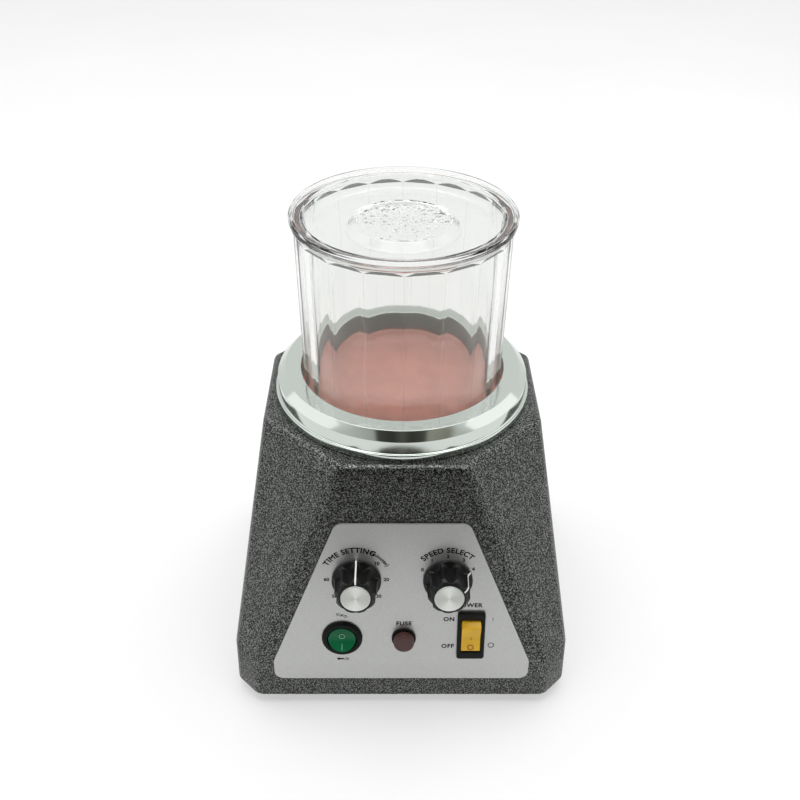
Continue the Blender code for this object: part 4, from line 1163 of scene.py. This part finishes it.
def makeUnderside():
    f, tree = foot, cornerTree()
    radius = f["radius"]
    profile = filleted([
        (f["hole"], f["top"]), (radius, f["top"], 0.0004), (radius - 0.0015, 0.0006, 0.0006),
        (radius - 0.0025, 0, 0.0006), (f["recess"], 0, 0.0004), (f["recess"], f["recessZ"]),
        (f["hole"], f["recessZ"])], closed=True, steps=4)
    feet = newPiece("rubber_feet", turned(profile, 64, ring=True), rubber)
    screw = filleted([
        (0, f["screwTop"]), (f["shank"], f["screwTop"]), (f["shank"], f["headZ"]),
        (f["head"], f["headZ"], 0.0002), (0.0038, 0.0026, 0.0006), (0, 0.0019)], steps=4)
    screws = newPiece("foot_screws", turned(screw, 48), zincScrew)
    low, high = f["slotZ"]
    carve(screws, [(boxSolid((-x, -y, low), (x, y, high)), None) for x, y in (
        (f["slotReach"], f["slotHalf"]), (f["slotHalf"], f["slotReach"]))])
    for obj, mat, slotName, prefix in ((feet, rubber, "foot_rubber", "foot_"),
                                       (screws, zincScrew, "screw_zinc", "foot_screw_")):
        applyTree(obj, tree, {"Spacing": 2 * f["at"], "Material": mat})
        obj.data.transform(Matrix.Translation((0, axisY, 0)))
        handOver(obj, "root", slotName, *[prefix + corner for corner in f["corners"]])


def makeLamination():
    # stacked electrical steel: its sheets are half a millimetre thick, drawn as 0.8 mm to show
    mat, tree, surface = startMaterial("laminatedSteel", {"Metallic": 0.9, "Roughness": 0.45})
    place = addNode(tree, "ShaderNodeTexCoord").outputs["Object"]
    split = addNode(tree, "ShaderNodeSeparateXYZ", {"Vector": place})
    sheets = addNode(tree, mathNode, [split.outputs["Z"], 1 / 0.0008], operation="MULTIPLY")
    edge = addNode(tree, mathNode, [sheets, 1.0], operation="PINGPONG")
    colour = addNode(tree, "ShaderNodeValToRGB", [edge], [(0.1, "#3B3C3D"), (0.4, "#6B6C6D")])
    relief = addNode(tree, "ShaderNodeBump", {"Height": edge, "Distance": 0.00005, "Strength": 0.5})
    feed(tree, surface, {"Base Color": colour, "Normal": relief})
    return mat


def finishCarried():
    # the drive and the bottom plate keep their CAD shapes and get a finish each
    carried = (
        # sprayed grey enamel
        (makePlastic("motorPaint", "#787C7E", 0.4, grain=500.0), ["motor_case", "motor_end_cap"]),
        (makeLamination(), ["stator_core", "armature"]),
        # ground and hardened
        (makeMetal("bearingSteel", "#C4C5C4", 0.22), ["upper_bearing", "lower_bearing"]),
        # bright drawn bar
        (makeMetal("groundSteel", "#BDBEBD", 0.26, (1, 1, 0.1)),
         ["motor_shaft", "timer_shaft", "speed_switch_shaft", "timer_nut", "speed_switch_nut"]),
        # face-turned
        (makeMetal("machinedAluminium", "#C3C6C8", 0.34), ["magnet_disc"]),
        # warm bright plating
        (makeMetal("nickelPlate", "#BDB9AE", 0.24), [f"magnet_{i}" for i in range(1, 7)]),
        (makePlastic("fanNylon", "#222325", 0.5), ["cooling_fan"]),
        # cloudy blue-white zinc
        (makeMetal("zincPlate", "#B4B8B6", 0.4, scale=180.0),
         ["motor_bracket", "bottom_plate", *[f"standoff_{i}" for i in range(1, 5)]]),
        # glass-epoxy board under solder resist: green, semi-gloss, a faint weave
        (patterned("solderResist", {"Roughness": 0.38}, {"Scale": 160.0, "Distortion": 3.0},
                   [(0.3, "#0F4A2B"), (0.7, "#15603A")], (0.00003, 0.4), "ShaderNodeTexWave"),
         ["control_board"]),
        (makePlastic("naturalNylon", "#C9C7BE", 0.5), ["board_rail_left", "board_rail_right"]),
        (makePlastic("controlPhenolic", "#2A2A2D", 0.5), ["timer_body", "speed_switch_body"]),
    )
    for mat, nodes in carried:
        for node in nodes:
            data = frame["nodes"][node].data
            data.materials.clear()
            data.materials.append(mat)


# the sloped front mirrors the dim room beyond the table's near end
table = {"front": -0.37, "back": 1.9, "half": 1.3, "top": -0.0002, "glow": 0.44}


def makeStage():
    # a white light table, lit from inside so that shadows on it stay faint
    mat = patterned("opalTable", {
        "Roughness": 0.9, "Emission Color": (1, 1, 1, 1), "Emission Strength": table["glow"],
    }, {"Scale": 3.0}, [(0.3, "#B0B0B0"), (0.7, "#B4B4B4")])
    bm = bmesh.new()
    half, front, back = table["half"], table["front"], table["back"]
    bm.faces.new([bm.verts.new((x, y, table["top"])) for x, y in (
        (-half, front), (half, front), (half, back), (-half, back))])
    newPiece("table_top", bm, mat)


def makeWorld():
    # white above and behind; the room in front is dark in the middle and paler on both sides
    world = bpy.data.worlds.new("studio")
    bpy.context.scene.world = world
    world.use_nodes = True
    tree = world.node_tree
    way = addNode(tree, "ShaderNodeTexCoord").outputs["Generated"]
    split = addNode(tree, "ShaderNodeSeparateXYZ", {"Vector": way})
    front = addNode(tree, "ShaderNodeMapRange", {
        "Value": split.outputs["Y"], "From Min": -0.2, "From Max": -0.42},
        interpolation_type="SMOOTHSTEP")
    across = addNode(tree, "ShaderNodeMapRange", {"Value": split.outputs["X"], "From Min": -1.0})
    room = addNode(tree, "ShaderNodeValToRGB", {"Fac": across}, [
        (0.20, "#D2D4D2"), (0.34, "#B4B6B3"), (0.36, "#494944"), (0.45, "#3A3A36"),
        (0.50, "#5A5A54"), (0.55, "#393935"), (0.63, "#4A4A45"), (0.65, "#A3A297"),
        (0.76, "#8C8B7E"), (0.80, "#CDCFCC")])
    mixed = addNode(tree, "ShaderNodeMix", {
        "Factor": front, "A": (0.9, 0.91, 0.9, 1), "B": room},
        data_type="RGBA")
    studio = tree.nodes["Background"]
    feed(tree, studio, {"Color": mixed.outputs["Result"]})
    # plain white where it is seen, directly or through the acrylic
    plain = addNode(tree, "ShaderNodeBackground", {"Color": (1, 1, 1, 1)})
    ray = addNode(tree, "ShaderNodeLightPath").outputs
    seen = addNode(tree, mathNode, [ray["Is Camera Ray"], ray["Is Transmission Ray"]],
                   operation="MAXIMUM")
    both = addNode(tree, "ShaderNodeMixShader", [seen, studio, plain])
    feed(tree, tree.nodes["World Output"], {"Surface": both})


softLights = (    # name, place, aim, width, height, watts
    ("topSoftbox", (0, 0.15, 1.7), (0, 0, 0.1), 1.7, 1.7, 23),
    ("leftSoftbox", (-1.5, 0.1, 0.9), (0, 0, 0.12), 1.3, 1.3, 2.2),
    ("rightSoftbox", (1.5, 0.1, 0.9), (0, 0, 0.12), 1.3, 1.3, 2.6),
    ("backLeftLamp", (-0.081, 1.45, 0.853), (-0.0243, 0.075, 0.269), 0.05, 0.016, 0.006),
    ("backRightLamp", (0.104, 1.45, 0.853), (0.0312, 0.075, 0.269), 0.05, 0.016, 0.006),
)


def makeLights():
    for name, place, aim, width, height, watts in softLights:
        lamp = bpy.data.lights.new(name, "AREA")
        lamp.shape = "RECTANGLE"
        lamp.size, lamp.size_y = width, height
        lamp.energy = watts
        obj = addObject(name, lamp)
        obj.location = place
        obj.rotation_euler = (Vector(aim) - Vector(place)).to_track_quat("-Z", "Y").to_euler()


view = {
    "focal": 993.97, "imageWidth": 800, "sensor": 36, "nearest": 0.01,
    "place": (-0.00112, -0.49082, 0.49145), "pitch": 35.03, "roll": 0.48, "yaw": 0.59,
}


def makeCamera():
    data = bpy.data.cameras.new("camera")
    data.sensor_width = view["sensor"]
    data.lens = view["focal"] * view["sensor"] / view["imageWidth"]
    data.clip_start = view["nearest"]
    camera = addObject("camera", data)
    pitch, roll = math.radians(view["pitch"]), math.radians(view["roll"])
    right = Vector((1, 0, 0))
    ahead = Vector((0, math.cos(pitch), -math.sin(pitch)))
    up = right.cross(ahead)
    rolledRight = math.cos(roll) * right + math.sin(roll) * up
    rolledUp = math.cos(roll) * up - math.sin(roll) * right
    facing = Matrix((rolledRight, rolledUp, -ahead)).transposed().to_4x4()
    facing = Matrix.Translation(view["place"]) @ facing
    camera.matrix_world = axisMatrix @ Matrix.Rotation(-math.radians(view["yaw"]), 4, "Z") @ facing
    bpy.context.scene.camera = camera


makeHousing()
makePanel()
makeLegends()
print("housing, panel and legends made")
makeCollar()
makePlatform()
makeBowl()
makeBowlMarks()
makeLid()
print("collar, bowl and lid made")
flutes = fluteTree()
makeKnob("time_knob", -knob["u"], 0, flutes)
makeKnob("speed_knob", knob["u"], knob["speedRest"], flutes)
makeDirectionSwitch()
makePowerSwitch()
makeFuse()
print("controls made")
makeInlet()
makeUnderside()
finishCarried()
print("underside and drive made")
makeStage()
makeWorld()
makeLights()
makeCamera()
print("stage, lights and camera made")
scene = bpy.context.scene
scene.view_settings.view_transform = "Standard"
# light passes the lid and the bowl, two faces each, on its way in and on its way out
scene.cycles.max_bounces = 24
scene.cycles.transmission_bounces = 24
scene.cycles.glossy_bounces = 8
